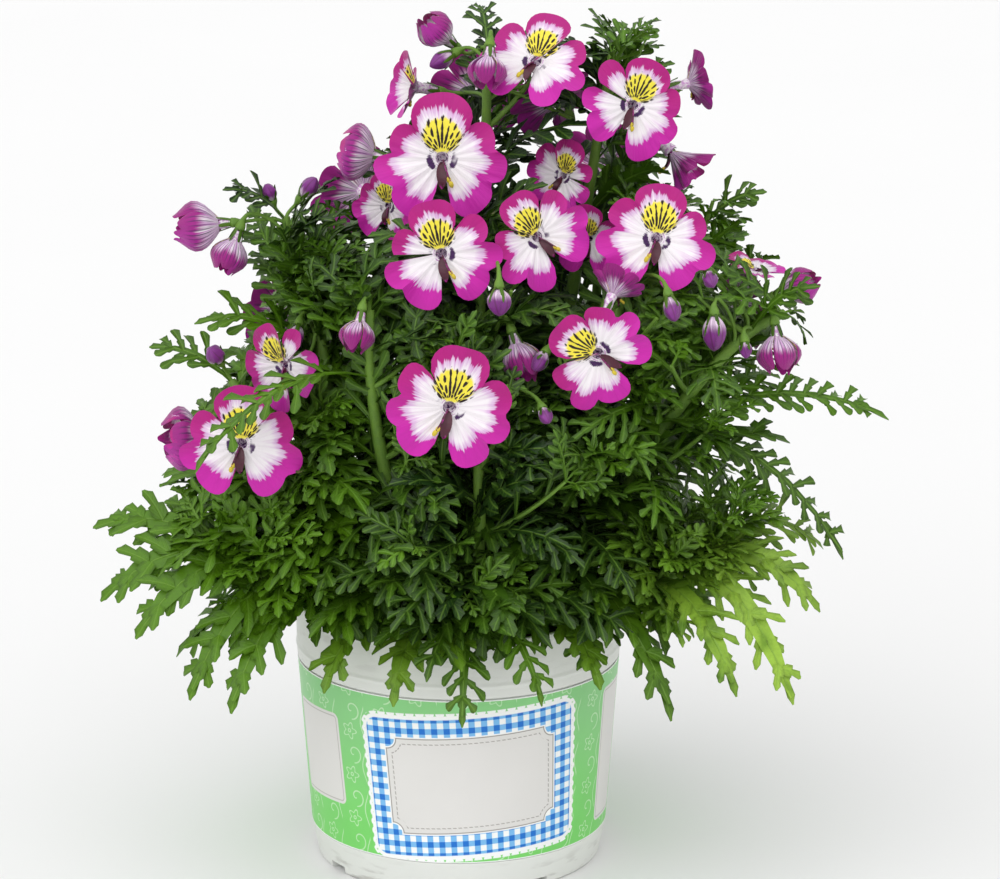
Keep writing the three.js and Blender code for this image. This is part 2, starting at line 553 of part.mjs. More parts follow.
// Flowers and buds, each with how far behind its place its base lies. A fused bud's base is sunk in its cup.
const ITEMS = [
  ...BLOOMS.map((bloom) => [bloom, TUBE.length]),
  ...BUDS.map((bud) => [bud, isLoose(bud) ? 0 : -SEAT_GAP - FUSED_DEPTH]),
];

function stalkSolid(points) {
  const radii = points.map((_, i) => (i === points.length - 1 ? STALK.cupRadius : STALK.radius));
  return tube(points, radii, STALK.sides);
}

// A stem's axis as a tapered tube, widened for the hole it stands in.
function axisSolid(axis, wider = 0, deeper = 0) {
  const spans = STEM.spans;
  const points = Array.from({ length: spans + 1 }, (_, i) => along(axis.path, i / spans));
  const radii = points.map((_, i) => mix(STEM.footRadius, STEM.tipRadius, i / spans) + wider);
  points[0] = sub(points[0], times(headingAt(axis.path, 0), deeper));
  return tube(points, radii, STEM.sides);
}

// The points that leaves keep clear of, each with the stem that owns it and the distance to keep.
function fixedPoints() {
  const taken = [];
  STEMS.forEach((stem) => stem.axes.forEach((axis) => {
    for (let i = 0; i <= 40; i += 1) {
      const t = i / 40;
      const keep = mix(STEM.footRadius, STEM.tipRadius, t) + CLEAR.besideStem;
      taken.push({ owner: stem.name, keep, point: along(axis.path, t) });
    }
  }));
  ITEMS.forEach(([item, back]) => {
    const points = stalkPoints(item, back);
    for (let i = 0; i + 1 < points.length; i += 1) {
      for (const part of [0, 0.33, 0.67]) {
        const point = add(times(points[i], 1 - part), times(points[i + 1], part));
        taken.push({ owner: item.stem, keep: CLEAR.stalk, point });
      }
    }
  });
  BLOOMS.forEach((bloom) => {
    for (const part of [0.25, 0.6, 1]) {
      petalOutline(bloom).forEach(([angle, out]) => {
        taken.push({ owner: '', keep: CLEAR.petal, point: petalPoint(bloom, angle, out * part) });
      });
    }
    const n = direction(bloom.face);
    [0, 0.5, 1].forEach((part) => {
      taken.push({ owner: '', keep: CLEAR.tube, point: sub(bloom.at, times(n, part * TUBE.length)) });
    });
  });
  BUDS.forEach((bud) => [0.1, 0.5, 0.9].forEach((part) => {
    const point = add(bud.at, times(direction(bud.face), part * bud.long));
    taken.push({ owner: '', keep: bud.radius + CLEAR.besideBud, point });
  }));
  return taken;
}

// Whether a point is off the pot and the soil, and out of the space in front of an open flower.
function inFreeAir(point) {
  const [x, y, z] = point;
  const out = Math.hypot(x, y);
  const besidePot = z > CLEAR.potTop || out > CLEAR.potWall || (out < CLEAR.inside && z > CLEAR.soil);
  if (!besidePot) return false;
  return BLOOMS.every((bloom) => {
    const n = direction(bloom.face);
    const away = sub(point, bloom.at);
    const high = dot(away, n);
    const wide = Math.hypot(...sub(away, times(n, high)));
    const free = bloom.spread > HALF_OPEN ? CLEAR.openFace : CLEAR.halfOpenFace;
    return high < 0 || high > free || wide > bloom.reach;
  });
}

function isClear(leaf, taken) {
  return leafSamples(leaf).every((point) => inFreeAir(point) && taken.every(({ owner, keep, point: other }) =>
    Math.hypot(...sub(point, other)) > (owner === leaf.owner ? CLEAR.own : keep)));
}

// How a rule leaf's rise, arch and reach change from its axis's foot to its tip, and how far draws shift it.
const LEAF_RULE = { rise: [-6, 34], riseDraw: 12, arch: [0.2, 0.12], reach: [0.26, 0.34], lengthDraw: 0.2 };

// A leaf by rule: its root on the axis, turned by the golden angle from the one below, longer and more level
// low on the stem, bent through BENDS until it is clear.
function ruleLeaf(stem, axis, number, taken) {
  const { count, from, to, long, turn } = axis.leaves;
  const rule = LEAF_RULE;
  const part = count > 1 ? number / (count - 1) : 0;
  const t = mix(from, to, part);
  const root = along(axis.path, t);
  const seed = Math.round(turn) + number;
  const length = mix(...long, part) * (1 + rule.lengthDraw * (draw(seed, 1) - 0.5));
  for (const [swing, lift] of BENDS) {
    const heading = turn + number * GOLDEN_ANGLE + swing;
    const rise = mix(...rule.rise, part) + rule.riseDraw * (draw(seed, 2) - 0.5) + lift;
    const way = [cosine(heading) * cosine(rise), sine(heading) * cosine(rise), sine(rise)];
    const leaf = {
      owner: stem.name,
      root,
      tip: add(root, times(way, length)),
      arch: length * mix(...rule.arch, part),
      reach: length * mix(...rule.reach, part),
      long: length,
      broad: false,
    };
    if (isClear(leaf, taken)) return leaf;
  }
  return null;
}

// All leaves in order: the large ones first, then each stem's own.
function layLeaves() {
  const taken = fixedPoints();
  const leaves = [];
  const keepLeaf = (leaf) => {
    leaves.push(leaf);
    leafSamples(leaf).forEach((point) => taken.push({ owner: leaf.owner, keep: CLEAR.blade, point }));
  };
  LARGE_LEAVES.forEach((large) => {
    const stem = STEMS.find(({ name }) => name === large.stem);
    const root = along(stem.axes[large.axis].path, large.along);
    const long = Math.hypot(...sub(large.tip, root));
    keepLeaf({ ...large, owner: large.stem, root, long });
  });
  STEMS.forEach((stem) => stem.axes.filter((axis) => axis.leaves).forEach((axis) => {
    for (let number = 0; number < axis.leaves.count; number += 1) {
      const leaf = ruleLeaf(stem, axis, number, taken);
      if (leaf) keepLeaf(leaf);
    }
  }));
  return leaves;
}

// A round piece turned about the pot's axis from its profile of radii and heights.
function turned(profile) {
  const points = profile.map(([radius, height]) => new THREE.Vector2(radius, height));
  return solidOf(new THREE.LatheGeometry(points, POT.facets).rotateX(Math.PI / 2));
}

const wallRadius = (z) =>
  mix(POT.wallFootRadius, POT.wallTopRadius, (z - POT.footTop) / (POT.wallTop - POT.footTop));

function potSolid() {
  const inner = (z) => wallRadius(z) - POT.wall;
  const outside = [
    [0, 0],
    [POT.footRadius - 1, 0],
    [POT.footRadius, 1],
    [POT.footTopRadius + 0.8, POT.footTop],
    [wallRadius(POT.footTop + 0.1), POT.footTop + 0.1],
    [POT.wallTopRadius, POT.wallTop],
    [POT.shoulderRadius, POT.wallTop + 0.3],
    [POT.rimRadius, POT.ridgeHeight],
    [POT.rimRadius, POT.height],
  ];
  const inside = [
    [POT.rimRadius - POT.wall, POT.height],
    [POT.shoulderRadius - POT.wall, POT.ridgeHeight],
    [inner(POT.floor + POT.corner), POT.floor + POT.corner],
    [inner(POT.floor) - POT.corner, POT.floor],
    [0, POT.floor],
  ];
  let pot = turned([...outside, ...inside]);
  for (let i = 0; i < DRAIN.count; i += 1) {
    const angle = (360 * (i + 0.5)) / DRAIN.count;
    const hole = new THREE.CylinderGeometry(DRAIN.radius, DRAIN.radius, 4 * POT.floor, DRAIN.sides);
    hole.rotateX(Math.PI / 2).translate(DRAIN.ring * cosine(angle), DRAIN.ring * sine(angle), 0);
    pot = pot.subtract(solidOf(hole));
  }
  for (let i = 0; i < FOOT_NOTCH.count; i += 1) {
    const angle = FOOT_NOTCH.firstAngle + (360 * i) / FOOT_NOTCH.count;
    const notch = new THREE.BoxGeometry(FOOT_NOTCH.width, 2 * FOOT_NOTCH.depth, 2 * FOOT_NOTCH.height);
    notch.translate(0, -POT.footRadius - 0.4, 0).rotateZ(THREE.MathUtils.degToRad(angle));
    pot = pot.subtract(solidOf(notch));
  }
  return pot;
}

function wrapSolid() {
  const inner = (z) => wallRadius(z) + WRAP.gap;
  const outer = (z) => inner(z) + WRAP.thickness;
  const { bottom, top } = WRAP;
  return turned([[inner(bottom), bottom], [outer(bottom), bottom], [outer(top), top], [inner(top), top],
    [inner(bottom), bottom]]);
}

function soilSolid() {
  const edge = (z) => wallRadius(z) - POT.wall - SOIL.gap;
  const top = POT.shoulderRadius - POT.wall - 2 * SOIL.gap;
  const soil = turned([
    [0, SOIL.bottom],
    [edge(SOIL.bottom) - POT.corner - SOIL.gap, SOIL.bottom],
    [edge(POT.floor + POT.corner), POT.floor + POT.corner + SOIL.gap],
    [edge(POT.wallTop), POT.wallTop],
    [top, SOIL.top - SOIL.dome],
    [top * SOIL.level, SOIL.top],
    [0, SOIL.top],
  ]);
  return STEMS.reduce((all, stem) => all.subtract(axisSolid(stem.axes[0], STEM.holeGap, STEM.holeGap)), soil);
}

function stemSolid(stem, leaves) {
  const parts = stem.axes.map((axis) => axisSolid(axis));
  ITEMS.filter(([item]) => item.stem === stem.name).forEach(([item, back]) => {
    parts.push(stalkSolid(stalkPoints(item, back)));
  });
  BUDS.filter((bud) => bud.stem === stem.name && !isLoose(bud)).forEach((bud) => parts.push(budSolid(bud)));
  leaves.filter(({ owner }) => owner === stem.name).forEach((leaf) => parts.push(leafSolid(leaf)));
  return fused(parts);
}

function material(colour, roughness) {
  return new THREE.MeshStandardMaterial({ color: colour, roughness, metalness: 0 });
}

const orchid = new THREE.Group();
function place(name, manifold, finish) {
  const mesh = new THREE.Mesh(geometryOf(manifold), finish);
  mesh.name = name;
  orchid.add(mesh);
}

place('pot', potSolid(), material(COLOUR.pot, 0.4));
place('label_band', wrapSolid(), material(COLOUR.wrap, 0.45));
place('soil', soilSolid(), material(COLOUR.soil, 0.95));
const leaves = layLeaves();
STEMS.forEach((stem) => place(`stem_${stem.name}`, stemSolid(stem, leaves), material(stem.colour, 0.6)));
BLOOMS.forEach((bloom) => place(`bloom_${bloom.name}`, bloomSolid(bloom), material(COLOUR.petal, 0.55)));
BUDS.filter(isLoose).forEach((bud) => place(`bud_${bud.name}`, budSolid(bud), material(COLOUR.bud, 0.55)));

export default orchid;
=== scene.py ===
"""Looks of a potted poor man's orchid: fine lobed leaves, marked petals, a printed wrap and a plain pot.

Sizes inside this file are millimetres, and each mesh is turned into metres when it is made.
"""

import math
from dataclasses import dataclass, field

import bpy
import numpy as np
from bpy.props import FloatProperty, FloatVectorProperty, IntProperty, PointerProperty
from bpy.types import Operator, Panel, PropertyGroup
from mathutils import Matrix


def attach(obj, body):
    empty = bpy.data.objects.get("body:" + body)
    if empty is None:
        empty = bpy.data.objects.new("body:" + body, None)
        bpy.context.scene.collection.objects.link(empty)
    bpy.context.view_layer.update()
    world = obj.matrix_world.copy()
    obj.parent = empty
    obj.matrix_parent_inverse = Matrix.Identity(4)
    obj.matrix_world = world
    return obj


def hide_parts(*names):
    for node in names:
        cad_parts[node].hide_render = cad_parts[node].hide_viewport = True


bl_info = {
    "name": "Potted poor man's orchid",
    "version": (1, 0, 0),
    "blender": (4, 5, 0),
    "location": "View3D > Sidebar > Orchid",
    "description": "Leafy stems, butterfly flowers, buds, soil, pot and printed wrap",
    "category": "Object",
}

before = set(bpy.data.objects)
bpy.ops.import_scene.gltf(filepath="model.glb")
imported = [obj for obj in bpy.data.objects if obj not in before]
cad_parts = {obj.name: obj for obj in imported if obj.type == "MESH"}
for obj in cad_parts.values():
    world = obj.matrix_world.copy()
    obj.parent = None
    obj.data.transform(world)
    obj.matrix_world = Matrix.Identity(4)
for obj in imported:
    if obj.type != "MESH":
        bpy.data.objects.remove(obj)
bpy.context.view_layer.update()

MM = 0.001

# Sizes of the pot, its wrap and the soil, as in the part's source.
POT = {
    "foot_radius": 52.3,
    "foot_top_radius": 53.8,
    "foot_top": 12.4,
    "wall_foot_radius": 53.9,
    "wall_top_radius": 58.6,
    "wall_top": 76.2,
    "shoulder_radius": 59.4,
    "ridge_height": 81.0,
    "rim_radius": 60.0,
    "height": 98.2,
    "wall": 1.5,
    "floor": 2.4,
    "corner": 3.0,
}
DRAIN = {"count": 6, "radius": 4.0, "ring": 34.0}
FOOT_NOTCH = {"count": 4, "width": 9.0, "height": 3.0, "depth": 5.0, "first_angle": -57.0}
WRAP = {"gap": 0.35, "thickness": 0.45, "bottom": 12.8, "top": 75.8}
SOIL = {"bottom": 2.8, "top": 88.0, "dome": 2.5, "level": 0.6, "gap": 0.35}
STEM = {"foot_radius": 3.1, "tip_radius": 1.5}
FOOT = 79.6
CRUMBS = 130

STALK = {"spans": 3, "radius": 0.9, "cup_radius": 2.0, "cup_length": 4.0}
SEAT_GAP = 0.3
FUSED_DEPTH = 0.8
TUBE = {"radius": 1.6, "length": 7.0}
GOLDEN_ANGLE = 137.5

# Distances that keep one stem's leaves clear of the other pieces.
CLEAR = {
    "own": 3.0,
    "blade": 4.4,
    "petal": 4.2,
    "tube": 4.5,
    "stalk": 3.2,
    "beside_stem": 2.6,
    "beside_bud": 2.4,
    "open_face": 34.0,
    "half_open_face": 8.0,
    "pot_wall": 63.5,
    "pot_top": 101.5,
    "inside": 53.0,
    "soil": 91.0,
}

# Turns and lifts, in degrees, that a leaf tries until it is clear.
BENDS = [(0, 0), (14, 4), (-14, 4), (28, -6), (-28, -6), (8, 16), (-8, 16), (44, 0), (-44, 0), (60, 10),
         (-60, 10), (24, 26), (-24, 26), (90, 0), (-90, 0), (120, 12), (-120, 12), (180, 8)]


@dataclass
class Axis:
    """A stem's line: the points it runs through, and how many leaves the rule places on which stretch of it."""

    path: list
    count: int = 0
    start: float = 0.0
    end: float = 0.0
    long: tuple = (0.0, 0.0)
    turn: float = 0.0


STEMS = {
    "left_top": ("foliage_dark", [
        Axis([[-16, -4, FOOT], [-28, -11, 118], [-42, -18, 162], [-54, -22, 206], [-61, -16, 243]],
             6, 0.2, 0.99, (58, 26), 200)]),
    "left_low": ("foliage_bright", [
        Axis([[-26, -14, FOOT], [-44, -28, 112], [-62, -38, 146], [-72, -40, 176], [-80, -36, 188]],
             4, 0.25, 0.98, (60, 30), 150),
        Axis([[-31, -18, 92], [-47, -30, 105], [-64, -42, 116], [-76, -46, 122]])]),
    "left_mid": ("foliage_mid", [
        Axis([[-14, -20, FOOT], [-28, -34, 120], [-42, -40, 164], [-47, -36, 196], [-50, -32, 214]],
             4, 0.3, 0.99, (52, 28), 250)]),
    "front_left": ("foliage_mid", [
        Axis([[-6, -26, FOOT], [-16, -44, 118], [-26, -56, 164], [-30, -58, 196], [-30, -54, 218]],
             4, 0.3, 0.99, (50, 26), 280)]),
    "centre": ("foliage_dark", [
        Axis([[2, 4, FOOT], [5, 2, 140], [8, -4, 205], [10, -8, 262], [11, -8, 304]],
             7, 0.24, 0.99, (60, 22), 20)]),
    "right_top": ("foliage_dark", [
        Axis([[14, 6, FOOT], [26, 4, 140], [40, 0, 205], [48, -6, 256], [55, -8, 300]],
             6, 0.3, 0.99, (56, 20), 60)]),
    "front": ("foliage_mid", [
        Axis([[4, -12, FOOT], [6, -28, 120], [7, -38, 168], [8, -42, 206], [10, -38, 238]],
             3, 0.4, 0.98, (42, 24), 240)]),
    "front_right": ("foliage_mid", [
        Axis([[16, -20, FOOT], [30, -36, 120], [44, -46, 165], [54, -46, 204], [60, -38, 226]],
             4, 0.3, 0.98, (54, 26), 300)]),
    "right": ("foliage_bright", [
        Axis([[28, -8, FOOT], [48, -22, 118], [68, -38, 162], [86, -44, 190], [103, -40, 206], [116, -33, 212]],
             5, 0.25, 0.99, (58, 24), 330),
        Axis([[36, -13, 93], [53, -30, 106], [72, -43, 116], [86, -48, 124]])]),
    "low_front": ("foliage_mid", [
        Axis([[2, -36, FOOT], [6, -52, 108], [8, -64, 140], [8, -70, 168], [10, -66, 190]],
             4, 0.2, 0.98, (46, 28), 250)]),
    "back_left": ("foliage_dark", [
        Axis([[-12, 20, FOOT], [-24, 42, 128], [-36, 58, 180], [-38, 58, 224]],
             5, 0.2, 0.99, (62, 26), 120)]),
    "back_right": ("foliage_dark", [
        Axis([[16, 22, FOOT], [34, 46, 128], [50, 62, 180], [52, 60, 230]],
             5, 0.2, 0.99, (62, 26), 60)]),
    "back": ("foliage_dark", [
        Axis([[0, 34, FOOT], [2, 52, 128], [4, 60, 180], [2, 56, 226], [0, 46, 256]],
             6, 0.2, 0.99, (58, 26), 90)]),
    "right_back": ("foliage_dark", [
        Axis([[30, 12, FOOT], [52, 18, 128], [74, 14, 186], [88, 2, 236]],
             6, 0.2, 0.99, (58, 26), 10)]),
}
STEM_NUMBER = {name: number for number, name in enumerate(STEMS)}

# Large leaves: stem, axis, how far along it, tip, arch, reach of the lobes, and whether they are broad.
LARGE_LEAVES = [
    ("left_low", 1, 0.95, (-126, -32, 134), 8, 13, True),
    ("left_low", 1, 0.8, (-124, -52, 114), 12, 14, True),
    ("left_low", 1, 0.7, (-112, -66, 104), 14, 14, True),
    ("left_low", 1, 0.45, (-95, -68, 80), 18, 14, True),
    ("left_low", 1, 0.25, (-80, -76, 78), 20, 14, True),
    ("left_low", 0, 0.3, (-108, -8, 128), 12, 13, False),
    ("left_mid", 0, 0.12, (-46, -74, 88), 12, 14, True),
    ("front_left", 0, 0.74, (-88, -96, 174), 12, 11, False),
    ("front_left", 0, 0.08, (-22, -80, 84), 14, 13, True),
    ("low_front", 0, 0.16, (2, -90, 78), 14, 12, False),
    ("low_front", 0, 0.24, (30, -88, 86), 12, 12, False),
    ("front_right", 0, 0.12, (50, -78, 90), 14, 13, True),
    ("front_right", 0, 0.24, (76, -86, 80), 18, 15, True),
    ("right", 1, 0.9, (127, -60, 112), 12, 13, True),
    ("right", 1, 0.7, (120, -72, 78), 20, 13, True),
    ("right", 1, 0.5, (98, -84, 88), 16, 13, True),
    ("right", 1, 0.98, (130, -30, 126), 12, 12, False),
    ("right", 0, 0.46, (152, -22, 172), 10, 9, False),
    ("right", 0, 0.4, (140, -40, 122), 20, 9, False),
    ("right_back", 0, 0.2, (108, 40, 104), 18, 14, False),
    ("back_right", 0, 0.14, (48, 104, 96), 18, 14, False),
    ("back_right", 0, 0.42, (66, 96, 150), 8, 14, False),
    ("back_right", 0, 0.6, (32, 96, 196), 6, 13, False),
    ("back_left", 0, 0.14, (-40, 104, 98), 18, 14, False),
    ("back_left", 0, 0.42, (-58, 94, 148), 8, 14, False),
    ("back_left", 0, 0.6, (-22, 96, 190), 6, 13, False),
    ("back", 0, 0.28, (-22, 100, 148), 8, 15, False),
    ("back", 0, 0.4, (24, 100, 162), 8, 15, False),
    ("left_top", 0, 0.14, (-98, 36, 106), 18, 14, False),
]


@dataclass
class Item:
    """A flower or bud: its stem and place on it, its middle or base, and where it faces."""

    name: str
    stem: str
    leaves: float
    at: tuple
    face: tuple
    roll: float = 0.0
    reach: float = 0.0
    spread: float = 0.0
    long: float = 0.0
    radius: float = 0.0


OPEN = 76
HALF_OPEN = 68
BLOOMS = [Item(*row) for row in [
    ("top", "centre", 0.86, (28, -17, 299), (-12, 40), 14, 21, OPEN),
    ("top_left", "centre", 0.86, (-14, 4, 286), (-70, 12), 0, 16, 55),
    ("upper_large", "centre", 0.76, (-5, -34, 268), (0, 12), 0, 24, OPEN),
    ("upper_left_half", "centre", 0.7, (-33, -16, 266), (-100, 10), 0, 13, 42),
    ("middle_left", "front", 0.97, (-5, -62, 240), (-4, 5), -12, 21.5, OPEN),
    ("middle", "front", 0.99, (28, -53, 244), (20, 10), -35, 20, 72),
    ("behind_left", "centre", 0.62, (-24, -20, 248), (-35, 5), 0, 15, 66),
    ("behind_middle", "right_top", 0.66, (38, -16, 258), (-25, 15), 20, 15, 66),
    ("top_back", "centre", 0.88, (36, 8, 280), (-150, 20), 0, 18, 66),
    ("upper_right", "right_top", 0.9, (62, -24, 285), (8, 6), 25, 20, OPEN),
    ("right_top_back", "right_top", 0.93, (82, 6, 287), (110, 8), 0, 14, 55),
    ("right_nodding", "right_top", 0.84, (76, 0, 264), (70, -40), 0, 19, 34),
    ("right_large", "front_right", 0.97, (70, -47, 242), (6, 22), 10, 22, OPEN),
    ("behind_right", "front_right", 0.9, (47, -28, 238), (-20, 0), 0, 15, 66),
    ("right_turned", "front_right", 0.86, (54, -60, 224), (150, 40), 0, 14, 45),
    ("lower_right", "front_right", 0.7, (49, -76, 208), (5, 0), -60, 20.5, OPEN),
    ("lower_large", "low_front", 0.93, (-2, -88, 192), (0, 0), 12, 24, OPEN),
    ("lower_half", "front", 0.75, (22, -64, 205), (40, -60), 0, 12, 28),
    ("left_large", "left_low", 0.85, (-75, -66, 173), (-8, 3), 0, 22.5, OPEN),
    ("left_behind", "left_low", 0.9, (-94, -40, 168), (-80, 0), 0, 15, 40),
    ("left_upper", "left_mid", 0.9, (-60, -52, 198), (-40, -5), -30, 19, 72),
    ("left_side", "left_top", 0.97, (-88, -20, 241), (-88, -5), 0, 15, 30),
    ("right_flat", "right", 0.86, (106, -20, 224), (60, 75), 0, 12, 70),
    ("right_side_half", "right", 0.96, (120, -24, 219), (75, 25), 0, 11, 30),
    ("left_nodding", "left_top", 0.93, (-80, -24, 233), (-60, -65), 0, 11, 30),
    ("right_low_nodding", "right", 0.93, (113, -46, 203), (20, -70), 0, 12, 32),
    ("top_nodding", "centre", 0.95, (11, -26, 299), (-10, -60), 0, 10, 34),
    ("centre_left_half", "front_left", 0.97, (-34, -66, 213), (-20, -60), 0, 9, 34),
    ("tip_half", "centre", 0.98, (-6, 2, 306), (-60, 40), 0, 11, 30),
    ("back_left", "back_left", 0.94, (-36, 80, 232), (-165, 10), 8, 22, OPEN),
    ("back_right", "back_right", 0.94, (54, 82, 240), (160, 12), -10, 22, OPEN),
    ("back_top", "back", 0.95, (6, 66, 272), (178, 18), 6, 21, OPEN),
    ("back_low_left", "back_left", 0.7, (-66, 66, 190), (-140, 5), -12, 20, OPEN),
    ("back_low_right", "back_right", 0.7, (78, 72, 196), (145, 5), 14, 20, OPEN),
    ("right_side", "right_back", 0.8, (104, 34, 200), (112, 6), 10, 20, OPEN),
]]
BUDS = [Item(*row[:5], long=row[5], radius=row[6]) for row in [
    ("left_top", "left_top", 0.99, (-55, -12, 250), (60, 50), 9, 3),
    ("left_tip", "left_top", 0.98, (-66, -14, 249), (-30, 60), 7, 2.6),
    ("left_mid", "left_mid", 0.97, (-56, -38, 208), (-20, -50), 9, 3),
    ("left_low", "left_low", 0.98, (-84, -42, 197), (-20, 40), 9, 3.2),
    ("top", "centre", 0.94, (-2, -2, 299), (-70, -25), 9, 3),
    ("centre", "front", 0.9, (15, -71, 229), (0, -70), 9, 4),
    ("low_front", "low_front", 0.99, (30, -80, 189), (20, -30), 7, 2.4),
    ("low_right", "front_right", 0.66, (31, -68, 206), (-40, -40), 8, 2.8),
    ("right_large", "front_right", 0.92, (74, -62, 224), (20, -50), 9, 3),
    ("right", "right", 0.78, (88, -50, 230), (10, -20), 8, 2.6),
    ("right_nodding", "right", 0.72, (90, -56, 216), (0, -75), 12, 4),
    ("right_small", "right", 0.8, (101, -52, 206), (10, -60), 6, 2.2),
]]
LOOSE_BUD_RADIUS = 3

# The petals' lobes: angle from the top, half their width, reach, places of the source's outline points, the
# place when folded, and the cut after each. The last angle is the middle of the lip.
PETAL_LOBES = [
    (0, 40, 0.93, (0.32, 0.75), 0.5, 0.42),
    (64, 22, 0.88, (-0.5, 0.4), 0.0, 0.72),
    (103, 17, 1.0, (-0.5, 0.5), 0.0, 0.72),
    (145, 25, 0.98, (-0.55, 0.5), 0.0, 0.34),
]
LIP_REACH = 0.46
PETAL_CURL = 0.16

LOBES = {"start": 0.24, "end": 0.93, "lean": 52, "droop": 0.22, "bend": 0.2, "four_pairs": 44, "five_pairs": 70}
LEAF_RULE = {"rise": (-6, 34), "rise_draw": 12, "arch": (0.2, 0.12), "reach": (0.26, 0.34), "length_draw": 0.2}

# The bush's outline, as heights and the farthest that fine leaves reach at each to the left, right, front
# and back.
BUSH = {
    "left": ([58, 80, 104, 126, 141, 160, 179, 194, 209, 232, 242, 265, 277, 300],
             [-90, -112, -128, -128, -112, -101, -96, -81, -70, -80, -80, -41, -30, -10]),
    "right": ([77, 96, 115, 141, 171, 202, 209, 224, 247, 254, 277, 300],
              [125, 128, 139, 139, 144, 134, 129, 127, 102, 92, 88, 76]),
    "front": ([80, 120, 190, 230, 270, 300], [-98, -98, -92, -80, -52, -30]),
    "back": ([80, 120, 200, 240, 280, 300], [104, 104, 90, 82, 58, 34]),
    "low": ([-68, -62, -16, -8], [79, 99, 99, 79]),
    "high": 311,
}

# Stretches of stem that show from the front: the stem, and its part between two places on it.
SEEN_STEMS = [("front_left", 0.48, 0.74), ("right", 0.42, 0.84), ("right_top", 0.66, 0.9), ("centre", 0.72, 0.86)]


def linear(red, green, blue):
    """A colour given as a screen shows it, turned into linear light."""
    return tuple(value / 12.92 if value <= 0.04045 else ((value + 0.055) / 1.055) ** 2.4
                 for value in (red / 255, green / 255, blue / 255))


def screen_colour(name, description, *screen):
    """A colour setting, with its default given as a screen shows it."""
    return FloatVectorProperty(name=name, description=description, subtype="COLOR", default=linear(*screen))


def sine(degrees):
    return np.sin(np.radians(degrees))


def cosine(degrees):
    return np.cos(np.radians(degrees))


def mix(a, b, k):
    return a + (b - a) * k


def unit(a):
    return a / np.linalg.norm(a, axis=-1, keepdims=True)


def spaced(a):
    """An array of numbers with a last axis of one, to multiply vectors."""
    return np.asarray(a, float)[..., None]


def smooth(a, low, high):
    """Rises from 0 at low to 1 at high as 3 k squared minus 2 k cubed."""
    k = np.clip((np.asarray(a, float) - low) / (high - low), 0, 1)
    return k * k * (3 - 2 * k)


def draw(i, k):
    """A repeatable draw between 0 and 1 for item i and use k: the fraction of a large sine."""
    value = math.sin(i * 12.9898 + k * 78.233) * 43758.5453
    return value - math.floor(value)


def along(path, t):
    """Points of the smooth curve through a path, t from 0 to 1: the uniform Catmull-Rom cubic of each span."""
    path = np.asarray(path, float)
    ends = np.vstack([2 * path[0] - path[1], path, 2 * path[-1] - path[-2]])
    place = np.clip(np.asarray(t, float), 0, 1) * (len(path) - 1)
    i = np.minimum(place.astype(int), len(path) - 2)
    u = spaced(place - i)
    p0, p1, p2, p3 = (ends[i + k] for k in range(4))
    return (p0 * 0.5 * u * (u * (2 - u) - 1) + p1 * 0.5 * (u * u * (3 * u - 5) + 2)
            + p2 * 0.5 * u * (u * (4 - 3 * u) + 1) + p3 * 0.5 * u * u * (u - 1))


def heading_at(path, t):
    t = np.asarray(t, float)
    return unit(along(path, np.minimum(t + 0.01, 1)) - along(path, np.maximum(t - 0.01, 0)))


def direction(face):
    """The unit vector given by an angle from the front towards +X and one upwards."""
    azimuth, rise = face
    return np.array([sine(azimuth) * cosine(rise), -cosine(azimuth) * cosine(rise), sine(rise)])


def axes_facing(n, roll):
    """The right and up axes of something that faces along n, turned clockwise by roll."""
    right = unit(np.cross(n, [0, 0, -1]))
    up = np.cross(n, right)
    return right * cosine(roll) - up * sine(roll), up * cosine(roll) + right * sine(roll)


@dataclass
class Leaf:
    """A lobed leaf: root, tip, arch over the chord, widest reach of the lobes, and the way its face looks."""

    owner: str
    root: np.ndarray
    tip: np.ndarray
    arch: float
    reach: float
    long: float
    broad: bool = False
    face: np.ndarray = field(default_factory=lambda: np.array([0.0, 0.0, 1.0]))
    lift: np.ndarray = field(default_factory=lambda: np.array([0.0, 0.0, 1.0]))
    seed: int = 0
    young: float = 0.0
    tufted: bool = False


def rib_at(leaf, s):
    """Point, run, right and up of the rib at s: the chord, lifted by 4 s (1 - s) of the arch."""
    s = spaced(s)
    chord = leaf.tip - leaf.root
    point = leaf.root + chord * s + leaf.lift * (4 * leaf.arch * s * (1 - s))
    run = unit(chord + leaf.lift * (4 * leaf.arch * (1 - 2 * s)))
    right = unit(np.cross(chord, leaf.face)) + np.zeros_like(run)
    return point, run, right, unit(np.cross(right, run))


def lobe_pairs(leaf):
    if leaf.tufted:
        return 2
    return 3 + (leaf.long > LOBES["four_pairs"]) + (leaf.long > LOBES["five_pairs"])


def lobe_reach(leaf, s):
    """The reach of the lobe at s: the leaf's, times 0.42 plus 0.58 of a sine over the leaf's length."""
    return leaf.reach * (0.42 + 0.58 * np.sin(np.pi * np.minimum(1, (np.asarray(s) + 0.1) / 1.08)))


def lobe_points(leaf, s, sideways, part):
    """Points part of the way out along lobes: forwards and sideways by the lean, drooping by part squared."""
    point, run, right, up = rib_at(leaf, s)
    reach = spaced(lobe_reach(leaf, s) * part)
    lean = LOBES["lean"]
    return (point + run * reach * cosine(lean) + right * spaced(sideways) * reach * sine(lean)
            - up * LOBES["droop"] * reach * spaced(part))


